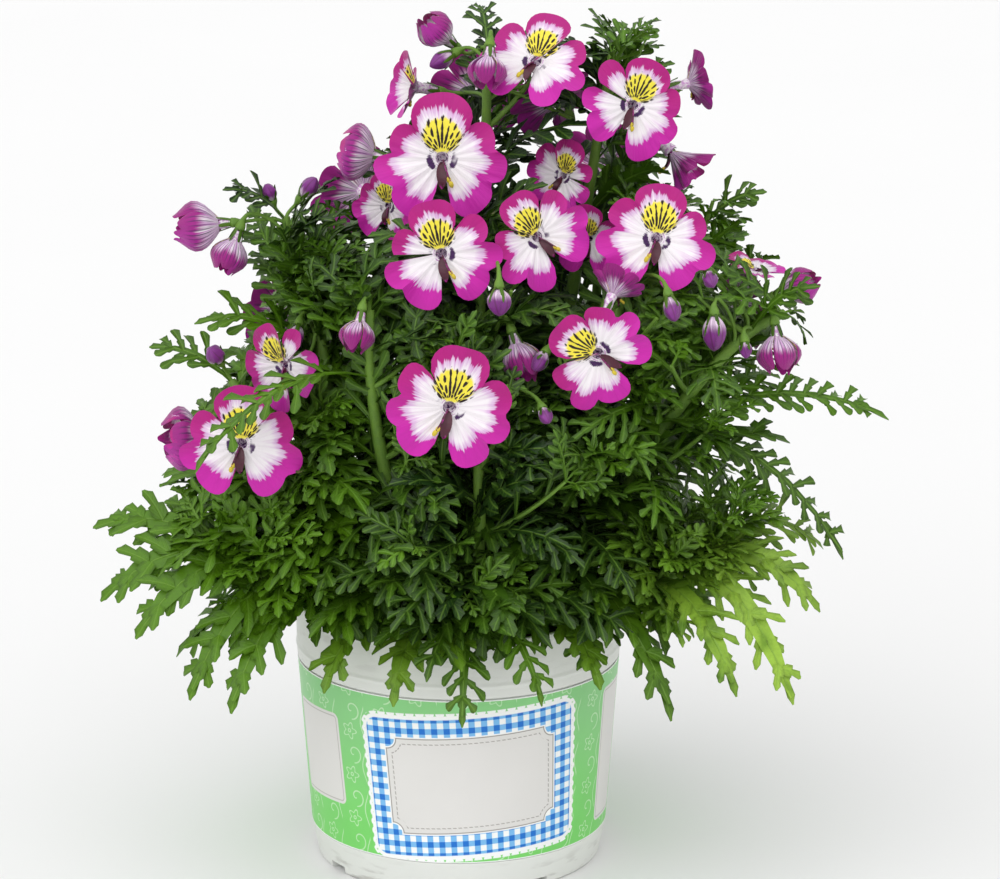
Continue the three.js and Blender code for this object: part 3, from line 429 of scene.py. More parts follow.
def leaf_samples(leaf):
    """The points of a leaf that are tested for clearance: down the rib and out along each lobe."""
    pairs = lobe_pairs(leaf)
    s = mix(LOBES["start"], LOBES["end"], (np.arange(pairs) + 0.5) / pairs)
    s, sideways, part = (a.ravel() for a in np.meshgrid(s, [1.0, -1.0], [0.5, 1.0], indexing="ij"))
    return np.vstack([rib_at(leaf, [0.3, 0.5, 0.7, 0.9, 1])[0], lobe_points(leaf, s, sideways, part)])


def petal_points(bloom, angle, out):
    """Points of a flower by angle from the top and distance out: a cone of the spread, curled back by out squared."""
    n = direction(bloom.face)
    right, up = axes_facing(n, bloom.roll)
    angle = np.asarray(angle, float)
    out = np.asarray(out, float)
    wide = out * sine(bloom.spread)
    high = out * cosine(bloom.spread) - PETAL_CURL * out * (out / bloom.reach) * sine(bloom.spread)
    return (np.array(bloom.at, float) + right * spaced(wide * sine(angle)) + up * spaced(wide * cosine(angle))
            + n * spaced(high))


def petal_outline(bloom):
    """The source's outline of a flower, as angles and distances out: one half and its mirror image."""
    half = []
    for at, wide, reach, places, fold, cut in PETAL_LOBES:
        for place in places if bloom.spread > HALF_OPEN else (fold,):
            half.append((at + place * wide, bloom.reach * reach * (1 - 0.15 * place * place)))
        half.append((at + wide, bloom.reach * cut))
    mirrored = [(360 - angle, out) for angle, out in reversed(half)]
    return np.array(half + [(180, bloom.reach * LIP_REACH)] + mirrored)


def is_loose(bud):
    return bud.radius >= LOOSE_BUD_RADIUS


ITEMS = [(bloom, TUBE["length"]) for bloom in BLOOMS]
ITEMS += [(bud, 0.0 if is_loose(bud) else -SEAT_GAP - FUSED_DEPTH) for bud in BUDS]


def stalk_points(item, back, spans=STALK["spans"]):
    """The stalk of a flower or bud: a Bezier cubic from its stem to the cup, then the cup's flat end."""
    way = direction(item.face)
    path = STEMS[item.stem][1][0].path
    foot = along(path, item.leaves)
    cup_end = np.array(item.at, float) - way * (back + SEAT_GAP)
    cup = cup_end - way * STALK["cup_length"]
    reach = 0.35 * np.linalg.norm(cup - foot)
    leave = foot + heading_at(path, item.leaves) * reach
    arrive = cup - way * reach
    t = spaced(np.arange(spans + 1) / spans)
    u = 1 - t
    points = foot * u ** 3 + leave * 3 * u * u * t + arrive * 3 * u * t * t + cup * t ** 3
    return np.vstack([points, cup_end])


class Clearance:
    """The points that shared leaves keep clear of, each with the stem that owns it and the distance to keep."""

    def __init__(self):
        self.points, self.owners, self.keeps = [], [], []
        for name, (_, axes) in STEMS.items():
            t = np.arange(41) / 40
            for axis in axes:
                keeps = mix(STEM["foot_radius"], STEM["tip_radius"], t) + CLEAR["beside_stem"]
                self.take(along(axis.path, t), name, keeps)
        for item, back in ITEMS:
            points = stalk_points(item, back)
            for part in (0, 0.33, 0.67):
                self.take(points[:-1] * (1 - part) + points[1:] * part, item.stem, CLEAR["stalk"])
        for bloom in BLOOMS:
            angle, out = petal_outline(bloom).T
            for part in (0.25, 0.6, 1):
                self.take(petal_points(bloom, angle, out * part), "", CLEAR["petal"])
            n = direction(bloom.face)
            self.take(np.array(bloom.at) - n * TUBE["length"] * spaced([0, 0.5, 1]), "", CLEAR["tube"])
        for bud in BUDS:
            points = np.array(bud.at) + direction(bud.face) * bud.long * spaced([0.1, 0.5, 0.9])
            self.take(points, "", bud.radius + CLEAR["beside_bud"])

    def take(self, points, owner, keep):
        self.points.append(points)
        self.owners += [STEM_NUMBER.get(owner, -1)] * len(points)
        self.keeps.append(np.broadcast_to(keep, len(points)))

    def is_clear(self, leaf):
        """Whether every sample of the leaf is in free air and farther from each taken point than it keeps."""
        samples = leaf_samples(leaf)
        if not in_free_air(samples).all():
            return False
        own = np.array(self.owners) == STEM_NUMBER[leaf.owner]
        keep = np.where(own, CLEAR["own"], np.concatenate(self.keeps))
        away = np.linalg.norm(samples[:, None] - np.vstack(self.points)[None], axis=-1)
        return bool((away > keep).all())


def beside_pot(points):
    out = np.hypot(points[..., 0], points[..., 1])
    z = points[..., 2]
    return (z > CLEAR["pot_top"]) | (out > CLEAR["pot_wall"]) | ((out < CLEAR["inside"]) & (z > CLEAR["soil"]))


def in_free_air(points):
    """Whether points are off the pot and soil, and out of the cylinder in front of every flower."""
    free = beside_pot(points)
    for bloom in BLOOMS:
        n = direction(bloom.face)
        away = points - np.array(bloom.at)
        high = away @ n
        wide = np.linalg.norm(away - spaced(high) * n, axis=-1)
        depth = CLEAR["open_face"] if bloom.spread > HALF_OPEN else CLEAR["half_open_face"]
        free &= (high < 0) | (high > depth) | (wide > bloom.reach)
    return free


def rule_leaf(name, axis, number, clearance):
    """A leaf by rule: turned by the golden angle from the one below, bent until it is clear."""
    rule = LEAF_RULE
    part = number / (axis.count - 1) if axis.count > 1 else 0
    root = along(axis.path, mix(axis.start, axis.end, part))
    seed = round(axis.turn) + number
    long = mix(*axis.long, part) * (1 + rule["length_draw"] * (draw(seed, 1) - 0.5))
    for swing, lift in BENDS:
        heading = axis.turn + number * GOLDEN_ANGLE + swing
        rise = mix(*rule["rise"], part) + rule["rise_draw"] * (draw(seed, 2) - 0.5) + lift
        way = np.array([cosine(heading) * cosine(rise), sine(heading) * cosine(rise), sine(rise)])
        leaf = Leaf(name, root, root + way * long, long * mix(*rule["arch"], part),
                    long * mix(*rule["reach"], part), long, seed=seed)
        if clearance.is_clear(leaf):
            return leaf
    return None


def lay_leaves():
    """The leaves that the part's source has too: the large ones first, then each stem's own."""
    clearance = Clearance()
    leaves = []

    def keep(leaf):
        leaves.append(leaf)
        clearance.take(leaf_samples(leaf), leaf.owner, CLEAR["blade"])

    for number, (stem, axis, place, tip, arch, reach, broad) in enumerate(LARGE_LEAVES):
        root = along(STEMS[stem][1][axis].path, place)
        tip = np.array(tip, float)
        keep(Leaf(stem, root, tip, arch, reach, np.linalg.norm(tip - root), broad, seed=900 + number))
    for name, (_, axes) in STEMS.items():
        for axis in axes:
            for number in range(axis.count):
                leaf = rule_leaf(name, axis, number, clearance)
                if leaf:
                    keep(leaf)
    return leaves


def bush_share(points, margin=0.0):
    """How far out points are: 0 in the bush's middle, 1 on the ellipse that its outline gives at their height."""
    x, y, z = points[..., 0], points[..., 1], points[..., 2]
    left, right, front, back = (np.interp(z, *BUSH[side]) for side in ("left", "right", "front", "back"))
    across = (x - (left + right) / 2) / ((right - left) / 2 - margin)
    deep = (y - (front + back) / 2) / ((back - front) / 2 - margin)
    return np.hypot(across, deep)


def within_bush(points, margin=0.0):
    x, y, z = points[..., 0], points[..., 1], points[..., 2]
    low = np.where(y < 0, np.interp(x, *BUSH["low"]), BUSH["low"][1][0])
    return (bush_share(points, margin) < 1) & (z > low) & (z < BUSH["high"] - margin)


class Air:
    """A grid of cells round the plant: which are closed to leaves, which stem owns the rest, how full they are."""

    LOW = np.array([-150.0, -125.0, 60.0])
    CELL = 2.5
    SHAPE = (126, 100, 108)
    FREE, CLOSED = -1, -2

    def __init__(self):
        self.owner = np.full(self.SHAPE, self.FREE, np.int16)
        self.crowd = np.zeros(self.SHAPE, np.int16)
        grid = np.stack(np.meshgrid(*[np.arange(n) for n in self.SHAPE], indexing="ij"), axis=-1)
        centres = self.LOW + (grid + 0.5) * self.CELL
        for name, (_, axes) in STEMS.items():
            for axis in axes:
                self.own(along(axis.path, np.linspace(0, 1, 160)), STEM_NUMBER[name])
        self.owner[~beside_pot(centres)] = self.CLOSED
        for bloom in BLOOMS:
            self.close_bloom(bloom)
        for bud in BUDS:
            self.close_ball(np.array(bud.at) + direction(bud.face) * bud.long / 2, bud.radius + 4)
        for name, first, last in SEEN_STEMS:
            line = along(STEMS[name][1][0].path, np.linspace(first, last, 40))
            ahead = direction((0, 15)) * spaced(np.arange(5, 60, 2))
            beside = spaced([-3.5, -1, 1, 3.5]) * np.array([0.8, 0, 0.6])
            self.owner[self.cells((line[:, None, None] + ahead[:, None] + beside).reshape(-1, 3))] = self.CLOSED

    def cells(self, points):
        place = np.floor((points - self.LOW) / self.CELL).astype(int)
        return tuple(np.clip(place, 0, np.array(self.SHAPE) - 1).T)

    def window(self, middle, radius):
        """The part of the grid within a radius of a point, as slices and the centres of its cells."""
        low = np.clip(((middle - radius - self.LOW) / self.CELL).astype(int), 0, None)
        high = np.minimum(((middle + radius - self.LOW) / self.CELL).astype(int) + 1, self.SHAPE)
        slices = tuple(slice(a, b) for a, b in zip(low, high))
        grid = np.stack(np.meshgrid(*[np.arange(a, b) for a, b in zip(low, high)], indexing="ij"), axis=-1)
        return slices, self.LOW + (grid + 0.5) * self.CELL

    def own(self, points, number):
        self.owner[self.cells(points)] = number

    def close_ball(self, middle, radius):
        slices, centres = self.window(middle, radius)
        self.owner[slices][np.linalg.norm(centres - middle, axis=-1) < radius] = self.CLOSED

    def close_bloom(self, bloom):
        """Closes the cone of the petals, the cylinder in front of an open flower's face, and the tube behind."""
        middle = np.array(bloom.at, float)
        is_open = bloom.spread > HALF_OPEN
        depth = CLEAR["open_face"] if is_open else 5.0
        slices, centres = self.window(middle, bloom.reach + depth)
        n = direction(bloom.face)
        away = centres - middle
        high = away @ n
        wide = np.linalg.norm(away - spaced(high) * n, axis=-1)
        rim = bloom.reach * cosine(bloom.spread)
        petals = (high > -3.5) & (high < rim + 5) & (wide < bloom.reach * sine(bloom.spread) + 2)
        front = (high > 0) & (high < depth) & (wide < bloom.reach * (0.97 if is_open else 0.6))
        tube = (high > -TUBE["length"] - 4) & (high < 0) & (wide < 4.5)
        self.owner[slices][petals | front | tube] = self.CLOSED

    def allows(self, leaf, crowding, margin=0.0):
        """Whether a leaf's samples are free, inside the bush and, but for a share, in cells not yet taken."""
        samples = leaf_samples(leaf)
        if not within_bush(samples, margin).all():
            return False
        cells = self.cells(samples)
        owner = self.owner[cells]
        if ((owner != self.FREE) & (owner != STEM_NUMBER[leaf.owner])).any():
            return False
        crowding *= mix(1, 0.45, smooth(samples[:, 2].mean(), 175, 235))
        return (self.crowd[cells] > 0).mean() <= crowding

    def fill(self, leaf):
        self.crowd[self.cells(leaf_samples(leaf))] += 1


@dataclass
class Shoot:
    """A side shoot: the stem it belongs to, the points it runs through, and its radii at its ends."""

    owner: str
    path: np.ndarray
    radii: tuple
    seed: int


def outward_at(point):
    """The level direction from the bush's middle to a point."""
    flat = np.array([point[0] - 12.0, point[1], 0.0])
    return flat / max(np.linalg.norm(flat), 1e-6)


def facing(way, root, k):
    """The way a leaf's face looks: up and outwards, made square to the way it grows."""
    face = np.array([0.0, 0.0, 1.0]) + outward_at(root) * k
    return unit(face - way * (face @ way))


def grow_shoots(air, count):
    """Side shoots up every stem by the golden angle, bent outwards, upwards and clear of the flowers."""
    shoots = []
    for name, (_, axes) in STEMS.items():
        for axis_number, axis in enumerate(axes):
            for i in range(count):
                seed = 1000 + 100 * STEM_NUMBER[name] + 40 * axis_number + i
                place = mix(0.14, 0.97, (i + 0.5 * draw(seed, 3)) / count)
                root = along(axis.path, place)
                for swing, lift in BENDS:
                    heading = axis.turn + 60 + i * GOLDEN_ANGLE + swing
                    level = np.array([cosine(heading), sine(heading), 0.0])
                    flat = unit(level + outward_at(root) * 0.9 + 1e-6)
                    rise = mix(8, 42, place) + 16 * (draw(seed, 4) - 0.5) + lift
                    way = flat * cosine(rise) + np.array([0, 0, sine(rise)])
                    long = mix(46, 24, place) * mix(0.75, 1.15, draw(seed, 5))
                    s = spaced(np.linspace(0, 1, 6))
                    path = root + way * long * s + np.array([0, 0, 0.22 * long]) * s * s
                    cells = air.cells(path[1:])
                    if (air.owner[cells] == air.CLOSED).any() or not within_bush(path, 9).all():
                        continue
                    shoots.append(Shoot(name, path, (1.15, 0.7), seed))
                    break
    return shoots


def shoot_leaves(shoot, air, count, crowding):
    """Leaves up a shoot by the golden angle, shorter towards its tip, then a tuft of small ones round the tip."""
    leaves = []
    for i in range(count):
        seed = shoot.seed * 7 + i
        s = mix(0.18, 1.0, i / (count - 1))
        root = along(shoot.path, s)
        ahead = heading_at(shoot.path, s)
        side = unit(np.cross(ahead, [0.0, 0.0, 1.0]))
        over = np.cross(side, ahead)
        for swing, lift in BENDS[:9]:
            turn = shoot.seed * 47 + i * GOLDEN_ANGLE + swing
            way = unit(ahead * mix(0.45, 0.9, s) + side * cosine(turn) + over * (0.25 + 0.75 * sine(turn))
                       + np.array([0, 0, 0.01 * lift]))
            long = mix(37, 19, s) * mix(0.85, 1.2, draw(seed, 1))
            face = facing(way, root, mix(-0.1, 1.1, draw(seed, 2)))
            leaf = Leaf(shoot.owner, root, root + way * long, long * mix(0.02, 0.16, draw(seed, 6)),
                        long * mix(0.27, 0.35, draw(seed, 7)), long, face=face, lift=face, seed=seed,
                        young=0.25 * s)
            if air.allows(leaf, crowding):
                air.fill(leaf)
                leaves.append(leaf)
                break
    return leaves


def tuft(owner, tip, ahead, seed, count, long, air):
    """Small leaves fanned round a growing tip, closer to its heading towards the middle."""
    side = unit(np.cross(ahead, [0.3, 0.2, 1.0]))
    over = np.cross(side, ahead)
    leaves = []
    for i in range(count):
        turn = seed * 31 + i * GOLDEN_ANGLE
        open_by = mix(28, 74, draw(seed + i, 9))
        way = unit(ahead * cosine(open_by) + (side * cosine(turn) + over * sine(turn)) * sine(open_by))
        size = long * mix(0.7, 1.2, draw(seed + i, 10))
        face = facing(way, tip, 0.6)
        leaf = Leaf(owner, tip, tip + way * size, size * 0.1, size * 0.36, size, face=face, lift=face,
                    seed=seed + i, young=0.7, tufted=True)
        if air.allows(leaf, 1.0):
            leaves.append(leaf)
    return leaves


def fill_leaves(name, axis, air, count, crowding):
    """Full-sized leaves between the shared ones: long and drooping low on the stem, short and rising above."""
    leaves = []
    for i in range(count):
        seed = 5000 + 300 * STEM_NUMBER[name] + i + round(axis.turn)
        place = mix(0.05, 0.97, (i + draw(seed, 3)) / count)
        root = along(axis.path, place)
        for swing, lift in BENDS:
            heading = axis.turn + 33 + i * GOLDEN_ANGLE + swing
            level = np.array([cosine(heading), sine(heading), 0.0])
            flat = unit(level + outward_at(root) * mix(1.0, 0.3, place) + 1e-6)
            rise = mix(0, 32, place) + 30 * (draw(seed, 4) - 0.5) + lift
            way = flat * cosine(rise) + np.array([0, 0, sine(rise)])
            long = mix(66, 28, place) * mix(0.75, 1.1, draw(seed, 5))
            face = facing(way, root, mix(0.0, 0.9, draw(seed, 7)))
            leaf = Leaf(name, root, root + way * long, long * mix(0.22, 0.1, place),
                        long * mix(0.24, 0.31, draw(seed, 6)), long, face=face, lift=face, seed=seed,
                        broad=bool(draw(seed, 8) < mix(0.75, 0.1, place)))
            if air.allows(leaf, crowding):
                air.fill(leaf)
                leaves.append(leaf)
                break
    return leaves


def grow_foliage(settings):
    """All leaves and shoots of each stem: the shared leaves, then fill leaves, shoots with theirs, and tufts."""
    shared = lay_leaves()
    air = Air()
    for leaf in shared:
        air.fill(leaf)
        middle = (leaf.root + leaf.tip) / 2
        towards_view = 0.95 * smooth(abs(middle[0] - 8), 52, 96) * (1 if middle[1] < 20 else -1)
        leaf.face = unit(np.array([0.0, -towards_view, 1.0]))
    leaves = list(shared)
    for name, (_, axes) in STEMS.items():
        for axis in axes:
            leaves += fill_leaves(name, axis, air, settings.fill_count, settings.crowding)
            tip = along(axis.path, 1.0)
            leaves += tuft(name, tip, heading_at(axis.path, 1.0), 77 + STEM_NUMBER[name], 8, 15, air)
    shoots = grow_shoots(air, settings.shoot_count)
    for shoot in shoots:
        leaves += shoot_leaves(shoot, air, settings.shoot_leaves, settings.crowding)
        leaves += tuft(shoot.owner, shoot.path[-1], heading_at(shoot.path, 1.0), shoot.seed, 5, 12, air)
    return leaves, shoots


class Form:
    """Gathers closed shells, given as grids of points, and makes one mesh of them in metres."""

    def __init__(self):
        self.points, self.quads, self.maps, self.paints, self.finishes = [], [], [], [], []
        self.count = 0

    def shells(self, rings, surface=(0.0, 0.0), paint=(0.0, 0.0, 0.0), finish=0):
        """Adds shells of R rings of J points: quads join ring to ring, and pairs across close the two ends."""
        rings = np.asarray(rings, float)
        if rings.ndim == 3:
            rings = rings[None]
        shells, _, sides = rings.shape[:3]
        index = np.arange(rings[..., 0].size).reshape(rings.shape[:3])
        ahead = np.roll(index, -1, axis=2)
        walls = np.stack([index[:, :-1], ahead[:, :-1], ahead[:, 1:], index[:, 1:]], axis=-1)
        i = np.arange(sides // 2 - 1)
        across = np.stack([i, i + 1, sides - 2 - i, sides - 1 - i], axis=-1)
        quads = np.concatenate([walls.reshape(shells, -1, 4), index[:, 0][:, across][..., ::-1],
                                index[:, -1][:, across]], axis=1)
        quads = self.turned_outwards(rings, quads)
        self.points.append(rings.reshape(-1, 3))
        self.quads.append(quads.reshape(-1, 4) + self.count)
        self.maps.append(np.broadcast_to(surface, rings.shape[:3] + (2,)).reshape(-1, 2))
        self.paints.append(np.broadcast_to(paint, rings.shape).reshape(-1, 3))
        self.finishes.append(np.full(quads.shape[0] * quads.shape[1], finish))
        self.count += rings[..., 0].size

    @staticmethod
    def turned_outwards(rings, quads):
        """Turns round the faces of each shell whose signed volume, the sum of its tetrahedra, is below zero."""
        middle = rings.reshape(len(rings), -1, 3).mean(axis=1)[:, None, None]
        a, b, c, d = np.moveaxis(rings.reshape(-1, 3)[quads] - middle, 2, 0)
        volume = (np.einsum("kqi,kqi->k", a, np.cross(b, c)) + np.einsum("kqi,kqi->k", a, np.cross(c, d)))
        return np.where((volume < 0)[:, None, None], quads[..., ::-1], quads)

    def piece(self, name, materials, sharp=60):
        """One object of all the shells, with its surface map, its paint attribute and its materials."""
        points = np.concatenate(self.points) * MM
        quads = np.concatenate(self.quads).astype(np.int32)
        mesh = bpy.data.meshes.new(name)
        mesh.vertices.add(len(points))
        mesh.vertices.foreach_set("co", points.astype(np.float32).ravel())
        mesh.loops.add(quads.size)
        mesh.loops.foreach_set("vertex_index", quads.ravel())
        mesh.polygons.add(len(quads))
        mesh.polygons.foreach_set("loop_start", np.arange(0, quads.size, 4, dtype=np.int32))
        mesh.polygons.foreach_set("material_index", np.concatenate(self.finishes).astype(np.int32))
        mesh.update(calc_edges=True)
        mesh.shade_smooth()
        mesh.set_sharp_from_angle(angle=math.radians(sharp))
        layer = mesh.uv_layers.new(name="surface")
        layer.data.foreach_set("uv", np.concatenate(self.maps)[quads.ravel()].astype(np.float32).ravel())
        paint = mesh.attributes.new("paint", "FLOAT_VECTOR", "POINT")
        paint.data.foreach_set("vector", np.concatenate(self.paints).astype(np.float32).ravel())
        piece = bpy.data.objects.new(name, mesh)
        bpy.context.scene.collection.objects.link(piece)
        for material in materials:
            mesh.materials.append(material)
        return piece


def stand_in(piece, node):
    """Makes a piece ride on the part's one body in place of a node, which is hidden."""
    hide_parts(node)
    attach(piece, "root")


def tube_rings(points, radii, sides):
    """Rings round a path: each circle lies square to the path, turned from one side vector for them all."""
    points = np.asarray(points, float)
    ahead = unit(np.gradient(points, axis=0))
    chord = points[-1] - points[0]
    side = np.cross(chord, np.eye(3)[np.argmin(np.abs(chord))])
    side = unit(side - ahead * spaced(ahead @ side))
    over = np.cross(ahead, side)
    angle = np.arange(sides) * 2 * np.pi / sides
    radii = np.broadcast_to(radii, len(points))[:, None, None]
    return (points[:, None] + radii * (side[:, None] * np.cos(angle)[None, :, None]
                                       + over[:, None] * np.sin(angle)[None, :, None]))


# Across and up of a blade's section: its two edges, and the middle of each face between them.
SECTION_ACROSS = np.array([-1.0, 0.0, 1.0, 0.0])
SECTION_UP = np.array([0.0, 1.0, 0.0, -1.0])


def lobe_outline(teeth, foot, depth, close):
    """Places out along a lobe and its share of the half width: it swells from the foot's share, loses a share by
    the tip, and at each tooth widens slowly outwards and falls back at once."""
    tooth = (np.arange(teeth)[:, None] + np.array([0.04, 0.74])) / (teeth + 0.3)
    p = np.append(tooth.ravel(), [0.91, 1.0])
    swell = foot + (1 - foot) * smooth(p, 0, 0.55)
    closing = 1 - close * smooth(p, 0.5, 1.0)
    cut = np.append(np.tile([1 - depth, 1.0], teeth), [0.88, 0.46])
    cut[0] = 1.0
    return p, swell * closing * cut


def add_lobes(form, base, out, up, run, reach, half, outline, cup, thickness, paint):
    """Adds flat lobes as shells: a centre line that droops and bends along the leaf with p squared, half widths
    from the outline, toothed edges drawn forwards, and a section lifted at its edges by the cup."""
    p, width = outline
    across = np.cross(up, out)
    centre = (base[:, None] + out[:, None] * spaced(reach[:, None] * p)
              + (run * LOBES["bend"] - up * LOBES["droop"])[:, None] * spaced(reach[:, None] * p * p))
    half = np.maximum(half[:, None] * width, 0.06)
    wide = half[..., None] * SECTION_ACROSS
    ahead = half[..., None] * 0.75 * np.abs(SECTION_ACROSS) * np.minimum(1, 4 * (1 - p))[None, :, None]
    thick = thickness * 0.5 * SECTION_UP * np.minimum(1, 4 * (1.02 - p))[:, None]
    high = half[..., None] * cup * SECTION_ACROSS ** 2 + thick
    rings = (centre[:, :, None] + across[:, None, None] * wide[..., None] + out[:, None, None] * ahead[..., None]
             + up[:, None, None] * high[..., None])
    surface = np.stack([0.5 + wide / 50, np.broadcast_to((reach[:, None] * p)[..., None] / 50, wide.shape)], -1)
    # The third paint number falls to -1 at the blade's edges, where the leaf material paints shade.
    form.shells(rings, surface, paint - np.abs(SECTION_ACROSS)[:, None] * np.array([0, 0, 1]))


def inside(leaf):
    """How deep inside the bush a leaf's middle is, from 0 near its outline to 1 in its core."""
    return 1 - smooth(bush_share((leaf.root + leaf.tip) / 2), 0.25, 0.7)


def leaf_paint(leaf):
    """How bright, how lime and how ribbed a leaf is: bright low on the left, lime low on the right, dark above,
    and darker deep inside the bush, which is painted shade. The third number is 1 on ribs, 0 in the middle of a
    blade and -1 at its edge, where the leaf material paints shade."""
    x, y, z = (leaf.root + leaf.tip) / 2
    left = smooth(-x, 30, 84) * smooth(-z, -172, -110)
    right = smooth(x, 42, 94) * smooth(-z, -150, -104)
    front = smooth(-z, -112, -90) * smooth(-y, 0, 60)
    shoulder = 0.56 * smooth(-x, 10, 60) * smooth(-z, -245, -190)
    flank = 0.4 * smooth(x, 20, 80) * smooth(z, 110, 160)
    over_rim = leaf.broad * smooth(-y, 30, 48) * smooth(-z, -100, -88) * smooth(-abs(x), -60, -40)
    places = 0.56 * left + 0.58 * right + 0.62 * front + 0.4 * over_rim + shoulder + flank
    # Painted shade: leaves deep inside the bush are made darker by half their depth.
    bright = 0.24 + places + 0.5 * leaf.young - 0.5 * inside(leaf) + 0.48 * (draw(leaf.seed, 21) - 0.5)
    lime = np.maximum(right * mix(0.45, 1.0, draw(leaf.seed, 22)), 0.34 * over_rim)
    return np.array([np.clip(bright, 0, 1), lime, 0.0])


def drawn_pairs(leaf):
    """Pairs of lobes on the finer leaf: one every 10 mm on broad ones, every 7 on ferny ones, fewer inside."""
    if leaf.tufted:
        return 3
    if leaf.broad:
        return int(np.clip(round(leaf.long / 10.5), 4, 7))
    apart = mix(8.2, 6.4, smooth(leaf.root[0], -30, 40)) + 2.6 * inside(leaf)
    return int(np.clip(round(leaf.long / apart), 4, 11))


def add_leaf(form, leaf, thickness):
    """Adds one leaf: toothed lobes either side of the rib, an end lobe, and the winged rib itself."""
    pairs = drawn_pairs(leaf)
    paint = leaf_paint(leaf)
    stagger = 0.3 * (draw(leaf.seed, 11) - 0.5)
    order = np.arange(2 * pairs)
    sideways = np.where(order % 2 == 0, 1.0, -1.0)
    s = mix(LOBES["start"], LOBES["end"], (order // 2 + 0.5 + stagger * sideways) / pairs)
    point, run, right, up = rib_at(leaf, s)
    wobble = np.sin(leaf.seed * 1.7 + order * 2.4)
    lean = LOBES["lean"] - (6 if leaf.broad else 0) + 9 * wobble
    tilt = 42 * np.cos(leaf.seed * 0.9 + order * 1.9) + 12
    out = run * spaced(cosine(lean)) + right * spaced(sideways * sine(lean))
    out = unit(out + up * spaced(sine(tilt) * 0.6))
    up = unit(up - out * spaced(np.einsum("ki,ki->k", up, out)))
    gap = leaf.long * (LOBES["end"] - LOBES["start"]) / pairs * sine(LOBES["lean"])
    reach = lobe_reach(leaf, s) * (0.98 + 0.14 * wobble)
    half = np.full(2 * pairs, gap * (0.52 - 0.14 * paint[1] if leaf.broad else 0.5))
    teeth = 2 if leaf.broad or inside(leaf) < 0.35 and leaf.reach > 7 and not leaf.tufted else 1
    outline = lobe_outline(teeth, *((0.95, 0.5, 0.62) if leaf.broad else (0.42, 0.55, 0.2)))
    cup = 0.1 + 0.35 * draw(leaf.seed, 12)
    add_lobes(form, point, out, up, run, reach, half, outline, cup, thickness, paint)
    point, run, right, up = rib_at(leaf, np.array([0.86]))
    reach = np.array([leaf.long * 0.14 + 0.3 * leaf.reach])
    outline = lobe_outline(1 if leaf.tufted else 2, 0.7, 0.45, 0.7)
    add_lobes(form, point, run, up, run, reach, half[:1] * 1.1, outline, cup, thickness, paint)
    add_rib(form, leaf, thickness, paint)


def add_rib(form, leaf, thickness, paint):
    """Adds the rib: a thick narrow strip along the arch, winged where the leaf is broad, closing at the tip."""
    s = np.linspace(0, 0.97, 4 if leaf.tufted else 8)
    point, _, right, up = rib_at(leaf, s)
    wing = (0.27 if leaf.broad else 0.1) * leaf.reach * smooth(s, 0.05, 0.4) * (1 - smooth(s, 0.75, 1.05))
    half = mix(0.75, 0.3, s) * min(1, leaf.long / 30) + wing
    wide = half[:, None] * SECTION_ACROSS
    high = 0.5 * SECTION_UP * mix(thickness * 1.9, thickness, s)[:, None] + 0.12 * half[:, None] * SECTION_ACROSS ** 2
    rings = point[:, None] + right[:, None] * wide[..., None] + up[:, None] * high[..., None]
    surface = np.stack([0.5 + wide / 50, np.broadcast_to(s[:, None] * leaf.long / 50, wide.shape)], axis=-1)
    form.shells(rings, surface, paint + np.array([0.0, 0.0, 1.0]))


def add_stem(form, axis):
    """Adds a stem: ten-sided rings along its curve, tapering to the tip and swollen a little at the joints."""
    t = np.linspace(0, 1, 36)
    radii = mix(STEM["foot_radius"], STEM["tip_radius"], t) * (1 + 0.07 * np.sin(t * 44) ** 8)
    form.shells(tube_rings(along(axis.path, t), radii, 10), paint=(0.5, 0, 0), finish=1)


def add_stalk(form, item, back):
    """Adds a stalk, thickening into the cup, and five narrow sepals that stand round the flower's base."""
    points = stalk_points(item, back, 9)
    end = points[-1]
    way = direction(item.face)
    line = np.vstack([points[:-1], end - way * 2.2, end - way * 0.8, end])
    radii = np.append(np.full(len(points) - 2, STALK["radius"] * 0.75), [0.95, 1.7, 1.9, 1.4])
    form.shells(tube_rings(line, radii, 8), paint=(0.6, 0, 0), finish=1)
    right, up = axes_facing(way, 20)
    angle = np.arange(5) * 72.0
    spoke = right * spaced(sine(angle)) + up * spaced(cosine(angle))
    snug = item.radius if item.radius else 2.2
    long = item.long * 0.7 if item.long else 6.0
    lift = snug * 0.9 - 1.3
    p = np.linspace(0, 1, 7)
    belly = 1.3 + lift * np.sin(np.pi * np.minimum(p * 0.62, 0.5)) + 0.8 * p * p
    centre = end - way * 1.2 + spoke[:, None] * spaced(belly) + way * spaced(p * long)
    around = np.cross(way, spoke)
    half = 0.75 * np.sqrt(np.clip(np.sin(np.pi * (0.14 + 0.86 * p)), 0.003, 1))
    wide = half[:, None] * SECTION_ACROSS
    rings = (centre[:, :, None] + around[:, None, None] * wide[None, ..., None]
             + spoke[:, None, None] * (0.22 * SECTION_UP)[None, None, :, None])
    form.shells(rings, paint=(0.45, 0.1, 0.6))


BUD_PROFILE = ([0, 0.12, 0.3, 0.5, 0.68, 0.85, 0.96, 1.0], [0.42, 0.74, 1.0, 1.0, 0.88, 0.6, 0.3, 0.06])


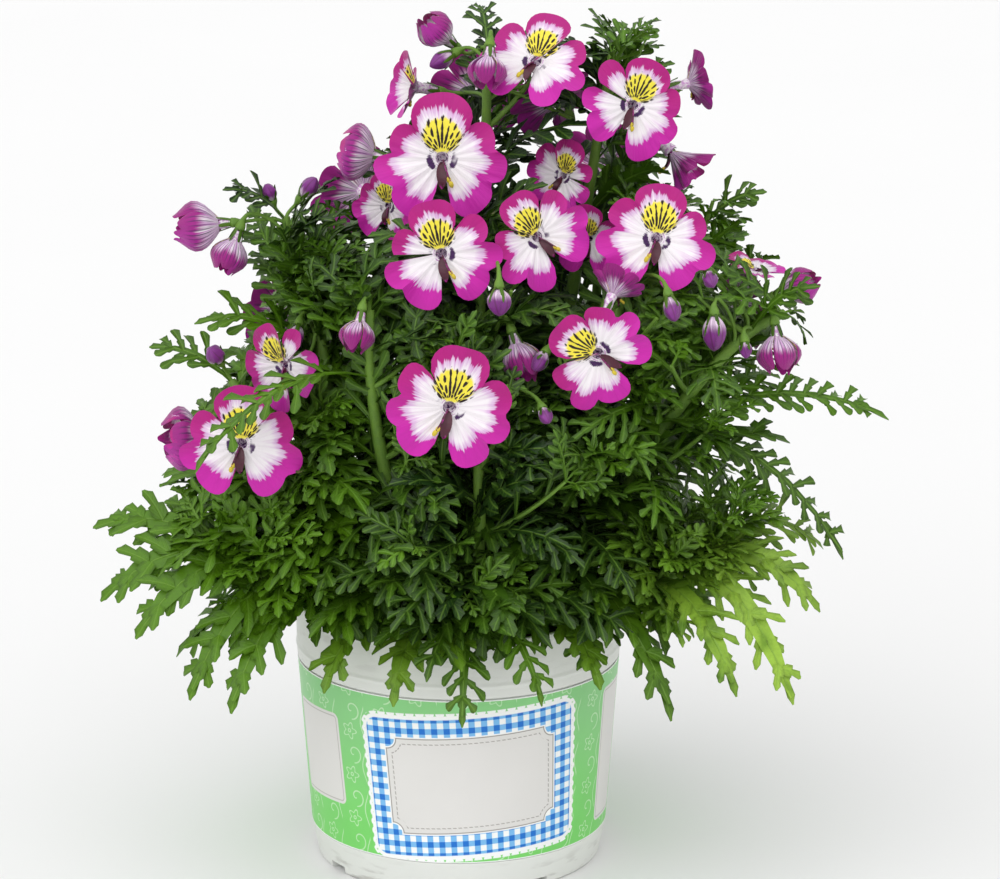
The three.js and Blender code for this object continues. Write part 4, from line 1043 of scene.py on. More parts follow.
def add_bud(form, bud, finish):
    """Adds a bud: rings widest below the middle, folded five times round and twisted a little to the tip."""
    way = direction(bud.face)
    right, up = axes_facing(way, 0)
    v = np.linspace(0, 1, 16)
    angle = np.arange(20) * 18.0
    fold = 1 + 0.1 * np.minimum(1, 2 * v)[:, None] * np.cos(np.radians(5 * angle + 90 * v[:, None]))
    radius = np.interp(v, *BUD_PROFILE)[:, None] * bud.radius * fold
    turn = angle + 25 * v[:, None]
    rings = (np.array(bud.at, float) + way * (v * bud.long)[:, None, None]
             + right * spaced(radius * sine(turn)) + up * spaced(radius * cosine(turn)))
    surface = np.stack([np.broadcast_to(angle / 360, radius.shape), np.broadcast_to(v[:, None], radius.shape)], -1)
    form.shells(rings, surface, (0.5, 0, 0), finish)


def lobed_reach(angle, lobes):
    """How far petals reach at an angle: each lobe a superellipse between its two cuts, the largest one counting."""
    reach = np.zeros_like(angle)
    for at, half, long, before, after in lobes:
        q = (angle - at) / half
        cut = np.where(q < 0, before, after)
        rise = np.clip(1 - np.abs(q) ** 3.4, 0, 1) ** 0.5
        reach = np.maximum(reach, np.where(np.abs(q) <= 1, mix(cut, long * (1 - 0.05 * q * q), rise), 0))
    return reach


UPPER_LOBES = [(0, 42, 0.95, 0.38, 0.38)]
SIDE_LOBES = [(62, 24, 0.9, 0.4, 0.72), (103, 18, 1.0, 0.72, 0.74), (145, 27, 0.98, 0.74, 0.3)]


def is_closing(bloom):
    return bloom.spread < 43 and bloom.reach < 16


def varied(lobes, seed):
    """The lobes of one petal, each turned, widened and lengthened a little by its own draws."""
    rows = []
    for number, (at, half, long, before, after) in enumerate(lobes):
        k = 10 * seed + number
        rows.append((at + 5 * (draw(k, 31) - 0.5), half * mix(0.94, 1.1, draw(k, 32)),
                     long * mix(0.92, 1.04, draw(k, 33)), before * mix(0.85, 1.08, draw(k, 34)),
                     after * mix(0.85, 1.08, draw(k + 1, 34))))
    return rows


def petal_face(bloom, angle, out):
    """Points of the finer flower: the source's open cone, or, for one that is still closing, a cup with its
    lip drawn in."""
    if not is_closing(bloom):
        return petal_points(bloom, angle, out)
    n = direction(bloom.face)
    right, up = axes_facing(n, bloom.roll)
    k = out / bloom.reach
    wide = (bloom.reach * sine(bloom.spread) * 1.2 * sine(90 * np.minimum(1, k / 0.55))
            * (1 - 0.55 * smooth(k, 0.58, 1.05)))
    high = mix(-5.0, bloom.reach * cosine(bloom.spread), k)
    return (np.array(bloom.at, float) + right * spaced(wide * sine(angle)) + up * spaced(wide * cosine(angle))
            + n * spaced(high))


# How far out from the throat a petal's rings stand, as shares of its reach there.
PETAL_RINGS = np.array([0.0, 0.12, 0.26, 0.42, 0.57, 0.71, 0.83, 0.93, 0.985, 1.0])


def add_petal(form, bloom, angles, lobes, mirror, lift, upper, seed):
    """Adds one petal as a thin closed shell on a fan of rays from the throat: the flower's cone and curl, plus
    ruffles that grow with the square of the distance out, and a shallow trough along each lobe."""
    f = PETAL_RINGS
    lobes = varied(lobes, seed)
    share = lobed_reach(angles, lobes)
    angle = np.where(mirror, 360 - angles, angles)
    inner = 0.1 * bloom.reach
    out = inner + (share * bloom.reach - inner) * f[:, None]
    n = direction(bloom.face)
    right, up = axes_facing(n, bloom.roll)
    outward = right * spaced(sine(angle)) + up * spaced(cosine(angle))
    behind = -n * sine(bloom.spread) + outward * cosine(bloom.spread)
    waves = (np.sin(np.radians(angles * 6.0 + 360 * draw(seed, 41)))
             + 0.6 * np.sin(np.radians(angles * 11.0 + 360 * draw(seed, 42))))
    trough = np.zeros_like(angles)
    for at, half, *_ in lobes:
        q = (angles - at) / half
        trough += np.where(np.abs(q) < 1, q * q - 0.4, 0)
    bend = 0.1 * (draw(seed, 43) - 0.5) * np.cos(np.radians(angles * 2 + 360 * draw(seed, 44)))
    calm = 0.5 if is_closing(bloom) else 1.0
    shape = (0.032 * waves + 0.07 * trough + bend) * calm * bloom.reach * f[:, None] ** 2
    crease = 0.012 * bloom.reach * np.cos(np.radians(angles * 20)) * np.sin(np.pi * f)[:, None]
    top = petal_face(bloom, np.broadcast_to(angle, out.shape), out) - behind * spaced(shape + crease + lift)
    thick = 0.34 * np.minimum(1, 4 * (1.04 - f))[:, None]
    bottom = top + behind * spaced(np.broadcast_to(thick, out.shape))
    rings = np.concatenate([top, bottom[:, ::-1]], axis=1)
    plane = 0.5 + 0.45 * np.stack([out / bloom.reach * sine(angle), out / bloom.reach * cosine(angle)], axis=-1)
    surface = np.concatenate([plane, plane[:, ::-1]], axis=1)
    rim = np.broadcast_to(f[:, None], out.shape)
    front = np.stack([rim, np.full(out.shape, upper), np.full(out.shape, 0.6 + 0.4 * draw(seed, 45))], axis=-1)
    back = front * np.array([1.0, 1.0, 0.0])
    form.shells(rings, surface, np.concatenate([front, back[:, ::-1]], axis=1))


THROAT_PROFILE = [(0.1, -5.0), (0.8, -4.8), (1.4, -2.4), (2.1, 0.2), (2.6, 0.75), (3.0, 0.55), (2.5, -1.2),
                  (1.9, -3.8), (1.65, -6.9), (0.1, -6.95)]


def in_flower(bloom, right, up, high):
    """Points given by their distances to the right, up and forwards of a flower's throat."""
    n = direction(bloom.face)
    x, y = axes_facing(n, bloom.roll)
    return np.array(bloom.at, float) + x * spaced(right) + y * spaced(up) + n * spaced(high)


def add_throat(form, bloom):
    """Adds the throat and tube: the profile turned about the flower's axis, scaled with the flower at its mouth."""
    radius, high = np.array(THROAT_PROFILE).T
    wide = radius * np.where(high > -3, bloom.reach / 21, 1.0)
    angle = np.arange(16) * 22.5
    rings = in_flower(bloom, wide[:, None] * sine(angle), wide[:, None] * cosine(angle),
                      np.broadcast_to(high[:, None], (len(high), 16)))
    inside = np.where(np.arange(len(high)) < 4, 1.0, 0.0)
    paint = np.broadcast_to(np.stack([high / 7, inside, inside], axis=-1)[:, None], rings.shape)
    form.shells(rings, paint=paint, finish=1)


def add_keel(form, bloom, number):
    """Adds the dark keel of the lip, a boat-shaped strip below the throat, and two stamens lying along it."""
    k = bloom.reach / 21
    p = np.linspace(0, 1, 9)
    half = k * (0.5 + 1.25 * np.sin(np.pi * p ** 0.8) ** 0.9) * np.where(p > 0.99, 0.15, 1)
    down = k * mix(1.2, 9.6, p)
    high = k * (0.4 + 2.6 * np.sin(np.pi * p * 0.8))
    rings = in_flower(bloom, half[:, None] * SECTION_ACROSS, -np.repeat(down[:, None], 4, axis=1),
                      high[:, None] + k * (0.9 * SECTION_ACROSS ** 2 + 0.3 * SECTION_UP))
    form.shells(rings, paint=np.broadcast_to(np.stack([p, p * 0, p * 0], -1)[:, None], rings.shape), finish=2)
    side = 1 if draw(number, 51) > 0.5 else -1
    for aside, length in ((1.6, 0.72), (2.3, 0.9)):
        t = np.linspace(0, 1, 6)
        line = in_flower(bloom, side * k * (0.3 + aside * t), -k * (0.6 + 7.6 * length * t),
                         k * (0.9 + 3.0 * np.sin(np.pi * t * 0.66)))
        form.shells(tube_rings(line, 0.26 * k, 6), paint=(0.9, 0, 0), finish=2)
        ahead = unit(line[-1] - line[-2])
        v = np.linspace(0, 1, 6)
        body = line[-1] + ahead * spaced((v - 0.2) * 2.4 * k)
        form.shells(tube_rings(body, 0.75 * k * np.sqrt(np.clip(1 - (2 * v - 1) ** 2, 0.02, 1)), 8), finish=3)


def bloom_form(bloom, number):
    form = Form()
    side = np.linspace(39.5, 169.5, 33)
    top = np.linspace(-42.5, 42.5, 17)
    add_petal(form, bloom, side, SIDE_LOBES, False, 0.0, 0.0, 3 * number)
    add_petal(form, bloom, side, SIDE_LOBES, True, 0.0, 0.0, 3 * number + 1)
    add_petal(form, bloom, top, UPPER_LOBES, False, 0.55, 1.0, 3 * number + 2)
    add_throat(form, bloom)
    add_keel(form, bloom, number)
    return form


class Term:
    """A shader socket in an expression: its operators and methods add the Math nodes that work them out."""

    def __init__(self, paint, socket):
        self.paint = paint
        self.socket = socket

    def maths(self, operation, *others, first=None):
        values = ([self] if first is None else [first, self]) + list(others)
        return self.paint.node("ShaderNodeMath", {"operation": operation}, dict(enumerate(values)))

    def __add__(self, other):
        return self.maths("ADD", other)

    __radd__ = __add__

    def __sub__(self, other):
        return self.maths("SUBTRACT", other)

    def __rsub__(self, other):
        return self.maths("SUBTRACT", first=other)

    def __mul__(self, other):
        return self.maths("MULTIPLY", other)

    __rmul__ = __mul__

    def __truediv__(self, other):
        return self.maths("DIVIDE", other)

    def __rtruediv__(self, other):
        return self.maths("DIVIDE", first=other)

    def __pow__(self, other):
        return self.maths("POWER", other)

    def __abs__(self):
        return self.maths("ABSOLUTE")

    def sine(self):
        return self.maths("SINE")

    def low(self, other):
        return self.maths("MINIMUM", other)

    def high(self, other):
        return self.maths("MAXIMUM", other)

    def rounded(self):
        return self.maths("ROUND")

    def apart(self, period):
        """How far the value is from the nearest whole multiple of the period."""
        return abs(self.maths("WRAP", period / 2, -period / 2))

    def rise(self, low, high):
        """0 below low, 1 above high and smooth between; with low above high it falls instead."""
        settings = {"interpolation_type": "SMOOTHSTEP"}
        sides = {"Value": self, "From Min": min(low, high), "From Max": max(low, high),
                 "To Min": float(low > high), "To Max": float(low < high)}
        return self.paint.node("ShaderNodeMapRange", settings, sides)


class Paint:
    """A material being mixed: one method makes its nodes, and a few name the mixtures used here."""

    def __init__(self, name):
        self.material = bpy.data.materials.new(name)
        self.material.use_nodes = True
        self.tree = self.material.node_tree
        self.tree.nodes.clear()

    def node(self, kind, settings=None, sockets=None, output=0):
        """A node of a kind: its settings first, then values or links into its sockets; gives one output."""
        node = self.tree.nodes.new(kind)
        for key, value in (settings or {}).items():
            setattr(node, key, value)
        for key, value in (sockets or {}).items():
            if isinstance(value, Term):
                self.tree.links.new(value.socket, node.inputs[key])
            elif node.inputs[key].type == "RGBA" and len(value) == 3:
                node.inputs[key].default_value = (*value, 1.0)
            else:
                node.inputs[key].default_value = value
        return Term(self, node.outputs[output])

    def place(self):
        """Object coordinates in millimetres."""
        place = self.node("ShaderNodeTexCoord", output="Object")
        return self.node("ShaderNodeVectorMath", {"operation": "SCALE"}, {0: place, "Scale": 1 / MM})

    def surface(self):
        """The two numbers of the piece's own surface map."""
        return self.split(self.node("ShaderNodeUVMap", {"uv_map": "surface"}))[:2]

    def attribute(self):
        """The three numbers of the piece's paint attribute."""
        return self.split(self.node("ShaderNodeAttribute", {"attribute_name": "paint"}, output="Vector"))

    def split(self, vector):
        first = self.node("ShaderNodeSeparateXYZ", sockets={0: vector})
        return [Term(self, socket) for socket in first.socket.node.outputs]

    def vector(self, x, y, z=0.0):
        return self.node("ShaderNodeCombineXYZ", sockets={0: x, 1: y, 2: z})

    def noise(self, vector, scale, detail=2.0, roughness=0.5):
        return self.node("ShaderNodeTexNoise", sockets={"Vector": vector, "Scale": scale, "Detail": detail,
                                                        "Roughness": roughness}, output=0)

    def blend(self, share, first, second):
        """One colour turned into another by a share from 0 to 1."""
        return self.node("ShaderNodeMix", {"data_type": "RGBA"}, {0: share, 6: first, 7: second}, output=2)

    def shade(self, colour, share):
        """A colour made darker by a share from 0 to 1, or lighter above 1."""
        return self.node("ShaderNodeMix", {"data_type": "RGBA", "blend_type": "MULTIPLY"},
                         {0: 1.0, 6: colour, 7: self.vector(share, share, share)}, output=2)

    def finish(self, colour, roughness, height=None, depth=0.2, fixed=None):
        """Ends the material in one shader: colour, roughness, a bump in millimetres, and fixed socket values."""
        sockets = {"Base Color": colour, "Roughness": roughness, **(fixed or {})}
        if height is not None:
            sockets["Normal"] = self.node("ShaderNodeBump", sockets={"Strength": 1.0, "Distance": depth * MM,
                                                                     "Height": height})
        shader = self.node("ShaderNodeBsdfPrincipled", sockets=sockets)
        self.node_end(shader)
        return self.material

    def node_end(self, shader):
        end = self.tree.nodes.new("ShaderNodeOutputMaterial")
        self.tree.links.new(shader.socket, end.inputs["Surface"])


def leaf_material(settings):
    """Green blades: a pale rib and oblique side veins in millimetres on the surface map, blotched and dull, with
    painted shade darkening each blade towards its edges.
    """
    paint = Paint("leaf")
    bright, lime, ribbed = paint.attribute()
    across, out = paint.surface()
    wide = abs((across - 0.5) * 50)
    place = paint.place()
    blotch = paint.noise(place, 0.09, 3.0)
    fine = paint.noise(place, 0.9, 2.0)
    share = (bright + (blotch - 0.5) * 0.5).high(0.0).low(1.0)
    colour = paint.blend(share, tuple(settings.dark), tuple(settings.bright))
    colour = paint.blend(lime * blotch.rise(0.25, 0.6), colour, tuple(settings.lime))
    rib = wide.rise(0.5, 0.12)
    side = (out * 50 - wide * 1.15).apart(2.3).rise(0.34, 0.06) * wide.rise(0.1, 0.5) * 0.5
    # Painted shade: each blade is darker towards its edges, where the third paint number falls to -1.
    edge = ribbed.rise(-0.35, -1.0)
    ribbed = ribbed.high(0.0)
    vein = rib.high(side * (1 - ribbed)) * (0.55 + ribbed * 0.25)
    colour = paint.blend(vein * 0.6, colour, tuple(settings.vein))
    colour = paint.shade(colour, 0.8 + fine * 0.36 + blotch * 0.24 - edge * 0.34)
    height = (1 - vein) * 0.8 + fine * 0.35
    return paint.finish(colour, 0.36 + fine * 0.16, height, 0.28, {"Specular IOR Level": 0.34})


def stalk_material(settings):
    """Pale green stems: lighter and darker streaks along them, with a fine down in the bump."""
    paint = Paint("stalk")
    place = paint.place()
    streak = paint.noise(place, 0.35, 3.0)
    down = paint.noise(place, 3.2, 1.0)
    colour = paint.blend(streak.rise(0.3, 0.7), tuple(settings.stalk), tuple(settings.vein))
    colour = paint.shade(colour, 0.7 + down * 0.5)
    return paint.finish(colour, 0.5 + down * 0.1, down * 0.6 + streak, 0.22, {"Specular IOR Level": 0.35})


def petal_marks(paint, x, y, out, angle, rays, broad):
    """The yellow patch above the throat and its black strokes: three long ones up the middle, and short ones
    in columns on either side, each column's strokes set half a step from the next one's."""
    ragged = (((x / 0.3) ** 2 + ((y - 0.34) / 0.27) ** 2).maths("SQRT") + (rays - 0.5) * 0.5)
    yellow = ragged.rise(1.04, 0.86)
    step = 10.5
    column = (angle / step).rounded()
    aside = abs(angle - column * step + (broad - 0.5) * 16 + (rays - 0.5) * 5) * (math.pi / 180) * out
    beat = (out / 0.15 + column * 0.5 + (broad - 0.5) * 2.6).apart(1.0)
    dash = (aside - 0.021 + beat * 0.03).rise(0.005, -0.005) * beat.rise(0.41, 0.35)
    dash = dash * out.rise(0.14, 0.17) * ragged.rise(1.12, 1.0) * abs(angle).rise(86.0, 74.0)
    line = (aside - 0.02 + abs(out - 0.33) * 0.07).rise(0.005, -0.005) * abs(column).rise(1.6, 1.4)
    line = line * out.rise(0.2, 0.24) * (out + abs(angle) * 0.006).rise(0.575, 0.545)
    return yellow, dash.high(line)


def petal_material(settings):
    """Butterfly petals: a magenta rim with a ragged lilac inner edge, white inside, and above the throat a
    yellow patch with black strokes. Backs are white with dark veins and a magenta margin."""
    paint = Paint("petal")
    rim, upper, side = paint.attribute()
    front = side.rise(0.2, 0.5)
    seed = side * 60
    u, v = paint.surface()
    x = (u - 0.5) / 0.45
    y = (v - 0.5) / 0.45
    out, angle = polar(x, y)
    angle = angle * (180 / math.pi)
    rays = paint.noise(paint.vector(angle * 0.24, out * 0.9, seed), 1.0, 4.0, 0.66)
    broad = paint.noise(paint.vector(angle * 0.04, out * 1.1, seed), 1.0, 2.0)
    cloud = paint.noise(paint.vector(x * 3, y * 3, seed), 1.0, 2.0)

    magenta = paint.blend(y.rise(-0.6, 0.5) * 0.75 + cloud * 0.25, tuple(settings.rim_low), tuple(settings.rim_high))
    magenta = paint.shade(magenta, 0.76 + cloud * 0.28 + rays * 0.2)
    jagged = rim + (rays - 0.5) * 0.46
    edge = 0.7 + (broad - 0.5) * 0.3 + upper * 0.05 - y.rise(-0.15, -0.8) * 0.08
    streaks = rim.rise(0.2, 0.75) * rays.rise(0.44, 0.6) * 0.6
    halo = (jagged - edge).rise(-0.22, -0.02)
    face = paint.blend(streaks.high(halo * (0.25 + rays)), tuple(settings.white), tuple(settings.lilac))
    face = paint.blend((jagged - edge).rise(-0.03, 0.03), face, magenta)
    yellow, marks = petal_marks(paint, x, y, out, angle, rays, broad)
    face = paint.blend(yellow * 0.95, face, tuple(settings.yellow))
    face = paint.blend(marks, face, tuple(settings.mark))
    spot = ((abs(angle) - 92 - cloud * 30) * 0.016) ** 2 + ((out - 0.19) * 13) ** 2
    spot = (spot.maths("SQRT") + (rays - 0.5) * 0.9).rise(0.72, 0.5) * (1 - upper) * cloud.rise(0.4, 0.5)
    face = paint.blend(spot, face, tuple(settings.blotch))

    veins = (angle + (rays - 0.5) * 7).apart(11.0).rise(2.2, 0.7) * rim.rise(0.85, 0.6) * rim.rise(0.05, 0.2)
    back = paint.blend(rays.rise(0.35, 0.6), tuple(settings.white), tuple(settings.lilac))
    violet = paint.blend(0.45, magenta, tuple(settings.bud))
    back = paint.blend((jagged - edge + 0.24).rise(-0.2, 0.12), back, violet)
    back = paint.blend(veins * 0.7, back, tuple(settings.blotch))
    colour = paint.blend(front, back, face)
    return paint.finish(colour, 0.46 + cloud * 0.12, rays * 0.9 + broad * 0.4, 0.4,
                        {"Specular IOR Level": 0.28, "Sheen Weight": 0.2})


def throat_material(settings):
    """Tube and throat: white outside with lilac streaks, dark marks inside."""
    paint = Paint("throat")
    _, inside, _ = paint.attribute()
    streak = paint.noise(paint.place(), 0.9, 3.0)
    colour = paint.blend(streak.rise(0.4, 0.62), tuple(settings.white), tuple(settings.lilac))
    colour = paint.blend(inside * streak.rise(0.48, 0.6), colour, tuple(settings.blotch))
    return paint.finish(colour, 0.5, streak, 0.15)


def keel_material(settings):
    """The lip's keel: dark maroon, paler towards its tip."""
    paint = Paint("keel")
    place, _, _ = paint.attribute()
    streak = paint.noise(paint.place(), 0.8, 3.0)
    colour = paint.blend((place + streak * 0.4).rise(1.05, 1.3), tuple(settings.keel), tuple(settings.rim_low))
    return paint.finish(paint.shade(colour, 0.6 + streak * 0.8), 0.4, streak, 0.2)


def anther_material(settings):
    """Pollen sacs: dusty yellow grains."""
    paint = Paint("anther")
    grain = paint.noise(paint.place(), 4.0, 2.0)
    colour = paint.shade(tuple(settings.anther), 0.7 + grain * 0.6)
    return paint.finish(colour, 0.8, grain, 0.2)


def bud_material(settings):
    """Folded buds: white and lilac at the base, purple to the tip, with a darker line in each fold."""
    paint = Paint("bud")
    around, place = paint.surface()
    streak = paint.noise(paint.vector(around * 26, place * 1.3, 0.0), 1.0, 3.0)
    cloud = paint.noise(paint.place(), 0.3, 2.0)
    colour = paint.blend(streak, tuple(settings.white), tuple(settings.lilac))
    colour = paint.blend((place + (streak - 0.5) * 0.5).rise(0.12, 0.5), colour, tuple(settings.bud))
    colour = paint.blend((around * 5 + 0.5).apart(1.0).rise(0.12, 0.0) * 0.5, colour, tuple(settings.keel))
    return paint.finish(paint.shade(colour, 0.75 + cloud * 0.5), 0.45, streak, 0.2, {"Sheen Weight": 0.2})


def pot_material(settings):
    """Moulded white plastic: a faint clouding, fine grain, and grey scuffs low down and round the rim."""
    paint = Paint("pot plastic")
    place = paint.place()
    height = paint.split(place)[2]
    cloud = paint.noise(place, 0.03, 3.0)
    grain = paint.noise(place, 1.6, 2.0)
    scuff = paint.noise(paint.node("ShaderNodeMapping", sockets={"Vector": place, "Scale": (1, 1, 4.0)}), 0.07, 4.0)
    low = height.rise(14.0, 2.0) * 0.7 + height.rise(78.0, 92.0) * 0.35
    colour = paint.shade(tuple(settings.plastic), 0.95 + cloud * 0.08)
    colour = paint.blend(scuff.rise(0.52, 0.68) * low, colour, tuple(settings.scuff))
    return paint.finish(colour, 0.36 + grain * 0.1 + cloud * 0.06, grain * 0.3 + cloud, 0.12,
                        {"Specular IOR Level": 0.45})


def soil_material(settings):
    """Potting soil: dark peat with lighter fibres."""
    paint = Paint("soil")
    place = paint.place()
    lump = paint.noise(place, 0.22, 4.0, 0.65)
    grit = paint.noise(place, 1.7, 3.0, 0.6)
    colour = paint.blend(grit.rise(0.42, 0.66), tuple(settings.peat), tuple(settings.fibre))
    return paint.finish(paint.shade(colour, 0.5 + lump), 0.92, lump * 2 + grit, 0.7)


def tile(value, period, share):
    """1 in a share of each period of a value, 0 in the rest, with soft edges."""
    return value.apart(period).rise(period * share / 2 + 0.12, period * share / 2 - 0.12)


def box_distance(paint, x, y, half_wide, half_high, corner):
    """The distance from a box with round corners: of the corner's offset outside it, less the corner radius."""
    aside = abs(x) - (half_wide - corner)
    above = abs(y) - (half_high - corner)
    outside = (aside.high(0.0) ** 2 + above.high(0.0) ** 2).maths("SQRT")
    return outside + aside.high(above).low(0.0) - corner


def turned(x, y, middle, degrees):
    """Coordinates about a middle, turned clockwise by an angle."""
    dx = x - middle[0]
    dy = y - middle[1]
    c, s = math.cos(math.radians(degrees)), math.sin(math.radians(degrees))
    return dx * c + dy * s, dy * c - dx * s


def sprigs(x, y):
    """Line-drawn flowers of five petals, curls between them, and a wandering tendril: columns of them, each set
    half a step from the next."""
    column = (x / 14).rounded()
    across = x - column * 14
    drop = y + column * 8.5
    out, angle = polar(across, drop.maths("WRAP", 8.5, -8.5))
    flower = abs(out - 2.5 - (angle * 5).sine() * 0.7).rise(0.36, 0.16).high(abs(out - 0.6).rise(0.3, 0.14))
    out, angle = polar(across - 1.5, (drop + 8.5).maths("WRAP", 8.5, -8.5))
    curl = abs(out - 2.2 - angle * 0.55).rise(0.36, 0.16) * out.rise(4.2, 3.8)
    tendril = abs(across - 6.4 - (y * 0.37).sine()).rise(0.3, 0.12)
    return flower.high(curl).high(tendril)


def polar(x, y):
    return (x * x + y * y).maths("SQRT"), x.maths("ARCTAN2", y)


def wrap_material(settings):
    """The printed wrap, drawn in millimetres on the surface map: a green band with pale sprigs, a gingham patch
    with a scalloped lace edge and a bare stitched panel on it, and two bare side panels."""
    paint = Paint("wrap print")
    u, v = paint.surface()
    x = (u - 0.5) * WRAP_GIRTH
    y = v * 100
    mottle = paint.noise(paint.vector(x, y), 0.05, 3.0)
    colour = paint.blend(y.rise(16.0, 74.0), tuple(settings.band_low), tuple(settings.band_high))
    colour = paint.shade(colour, 0.93 + mottle * 0.14)

    colour = paint.blend(sprigs(x, y) * (0.35 + mottle * 0.6), colour, tuple(settings.sprig))

    px, py = turned(x, y, (6.3, 42.6), 3.1)
    patch = box_distance(paint, px, py, 39.0, 26.4, 4.0)
    scallop = (px.apart(3.6) ** 2 + py.apart(3.6) ** 2).maths("SQRT")
    lace = patch.rise(1.7, 1.4).high(scallop.rise(1.7, 1.4) * patch.rise(2.6, 2.3))
    holes = scallop.rise(0.5, 0.3) * patch.rise(0.6, 1.0) * patch.rise(2.2, 1.9)
    colour = paint.blend(lace * (1 - holes * 0.6), colour, tuple(settings.white))
    stripes = (tile(px, 4.4, 0.5) + tile(py, 4.4, 0.5)) * 0.5
    check = paint.blend(stripes.rise(0.0, 0.5), tuple(settings.white), tuple(settings.check_light))
    check = paint.blend(stripes.rise(0.55, 0.95), check, tuple(settings.check_dark))
    colour = paint.blend(patch.rise(0.25, -0.15), colour, check)

    qx, qy = turned(x, y, (5.8, 43.2), 3.1)
    panel = box_distance(paint, qx, qy, 31.0, 18.2, 0.6)
    bite = ((abs(qx) - 31.0) ** 2 + (abs(qy) - 18.2) ** 2).maths("SQRT")
    panel = panel.high(4.0 - bite)
    plain = paint.shade(tuple(settings.panel), 0.97 + mottle * 0.06)
    colour = paint.blend(panel.rise(1.0, 0.7), colour, tuple(settings.white))
    colour = paint.blend(panel.rise(0.5, 0.2), colour, tuple(settings.stitch))
    colour = paint.blend(panel.rise(0.1, -0.2), colour, plain)
    seam = abs(panel + 1.9).rise(0.26, 0.12) * (qx + qy).apart(2.0).rise(0.72, 0.6)
    colour = paint.blend(seam * 0.8, colour, tuple(settings.stitch))

    lx, ly = turned(x, y, (-62.5, 46.0), 3.0)
    left = box_distance(paint, lx, ly, 15.5, 17.5, 2.5)
    rx, ry = turned(x, y, (74.0, 43.5), 0.0)
    right = box_distance(paint, rx, ry, 10.0, 26.0, 2.5)
    side = left.low(right)
    colour = paint.blend(side.rise(0.15, -0.15), colour, plain)
    border = abs(side + 1.2).rise(0.3, 0.15)
    colour = paint.blend(border * 0.55, colour, tuple(settings.stitch))
    edge = y.rise(WRAP["bottom"] + 0.5, WRAP["bottom"] + 0.2).high(y.rise(WRAP["top"] - 0.5, WRAP["top"] - 0.2))
    colour = paint.blend(edge, colour, tuple(settings.white))
    ripple = paint.noise(paint.vector(x * 0.05, y * 0.02), 1.0, 1.0)
    return paint.finish(colour, 0.34 + mottle * 0.08, ripple * 2.0 + seam * 0.1, 0.35, {"Specular IOR Level": 0.4})


def wall_radius(z):
    share = (z - POT["foot_top"]) / (POT["wall_top"] - POT["foot_top"])
    return mix(POT["wall_foot_radius"], POT["wall_top_radius"], share)


WRAP_RADIUS = wall_radius(44.0) + WRAP["gap"] + WRAP["thickness"]
WRAP_GIRTH = 2 * math.pi * WRAP_RADIUS


def rounded(profile, steps=4):
    """A profile of radius, height and corner size with each corner drawn as a quadratic Bezier curve."""
    points = np.array([row[:2] for row in profile], float)
    sizes = np.array([row[2] for row in profile], float)
    before = np.vstack([points[:1], points[:-1]]) - points
    after = np.vstack([points[1:], points[-1:]]) - points
    t = np.linspace(0, 1, steps + 1)[:, None]
    curves = []
    for point, size, back, ahead in zip(points, sizes, before, after):
        if size == 0:
            curves.append(point[None])
            continue
        first = point + back / np.linalg.norm(back) * min(size, np.linalg.norm(back) / 2.1)
        last = point + ahead / np.linalg.norm(ahead) * min(size, np.linalg.norm(ahead) / 2.1)
        curves.append(first * (1 - t) ** 2 + point * 2 * t * (1 - t) + last * t * t)
    return np.vstack(curves)


def turned_rings(profile, sides):
    """A profile of radii and heights turned about the upright axis, as rings."""
    radius, height = profile.T
    angle = np.arange(sides) * 2 * np.pi / sides
    return np.stack([radius[:, None] * np.cos(angle), radius[:, None] * np.sin(angle),
                     np.broadcast_to(height[:, None], (len(height), sides))], axis=-1)


def pot_profile():
    """The pot's outside from the middle of its underside up, over the rim, and its inside down to the floor."""
    inner = POT["wall"]
    floor = POT["floor"]
    return [
        (0.2, 1.0, 0), (40.0, 1.0, 0.6), (44.0, 0.0, 0.8), (POT["foot_radius"], 0.0, 1.2),
        (POT["foot_top_radius"] + 0.8, POT["foot_top"], 0.7),
        (POT["wall_foot_radius"], POT["foot_top"] + 0.15, 0.2),
        (POT["wall_top_radius"], POT["wall_top"], 0.5),
        (POT["shoulder_radius"], POT["wall_top"] + 0.3, 0.4),
        (POT["shoulder_radius"] + 0.25, POT["ridge_height"] - 0.9, 0.3),
        (POT["rim_radius"], POT["ridge_height"], 0.5),
        (POT["rim_radius"] - 0.35, POT["ridge_height"] + 1.3, 0.5),
        (POT["rim_radius"] - 0.1, POT["height"] - 3.6, 0.5),
        (POT["rim_radius"] + 0.1, POT["height"] - 2.6, 0.5),
        (POT["rim_radius"] + 0.05, POT["height"], 0.75),
        (POT["rim_radius"] - inner, POT["height"], 0.6),
        (POT["shoulder_radius"] - inner, POT["ridge_height"], 1.0),
        (wall_radius(floor + POT["corner"]) - inner, floor + POT["corner"], 2.0),
        (wall_radius(floor) - inner - POT["corner"], floor, 2.0),
        (0.2, floor, 0),
    ]


def cutter(name, points, sides_up):
    """A closed prism that a Boolean takes away, from its outline and its lowest and highest point."""
    low, high = sides_up
    rings = np.stack([np.column_stack([points, np.full(len(points), z)]) for z in (low, high)])
    form = Form()
    form.shells(rings)
    return form.piece(name, [])


def cut_away(piece, tools):
    """Takes tools away from a piece with Boolean modifiers, applies them and removes the tools."""
    for tool in tools:
        modifier = piece.modifiers.new(tool.name, "BOOLEAN")
        modifier.operation = "DIFFERENCE"
        modifier.solver = "EXACT"
        modifier.object = tool
    depsgraph = bpy.context.evaluated_depsgraph_get()
    cut = bpy.data.meshes.new_from_object(piece.evaluated_get(depsgraph), depsgraph=depsgraph)
    piece.modifiers.clear()
    piece.data = cut
    for tool in tools:
        bpy.data.objects.remove(tool)


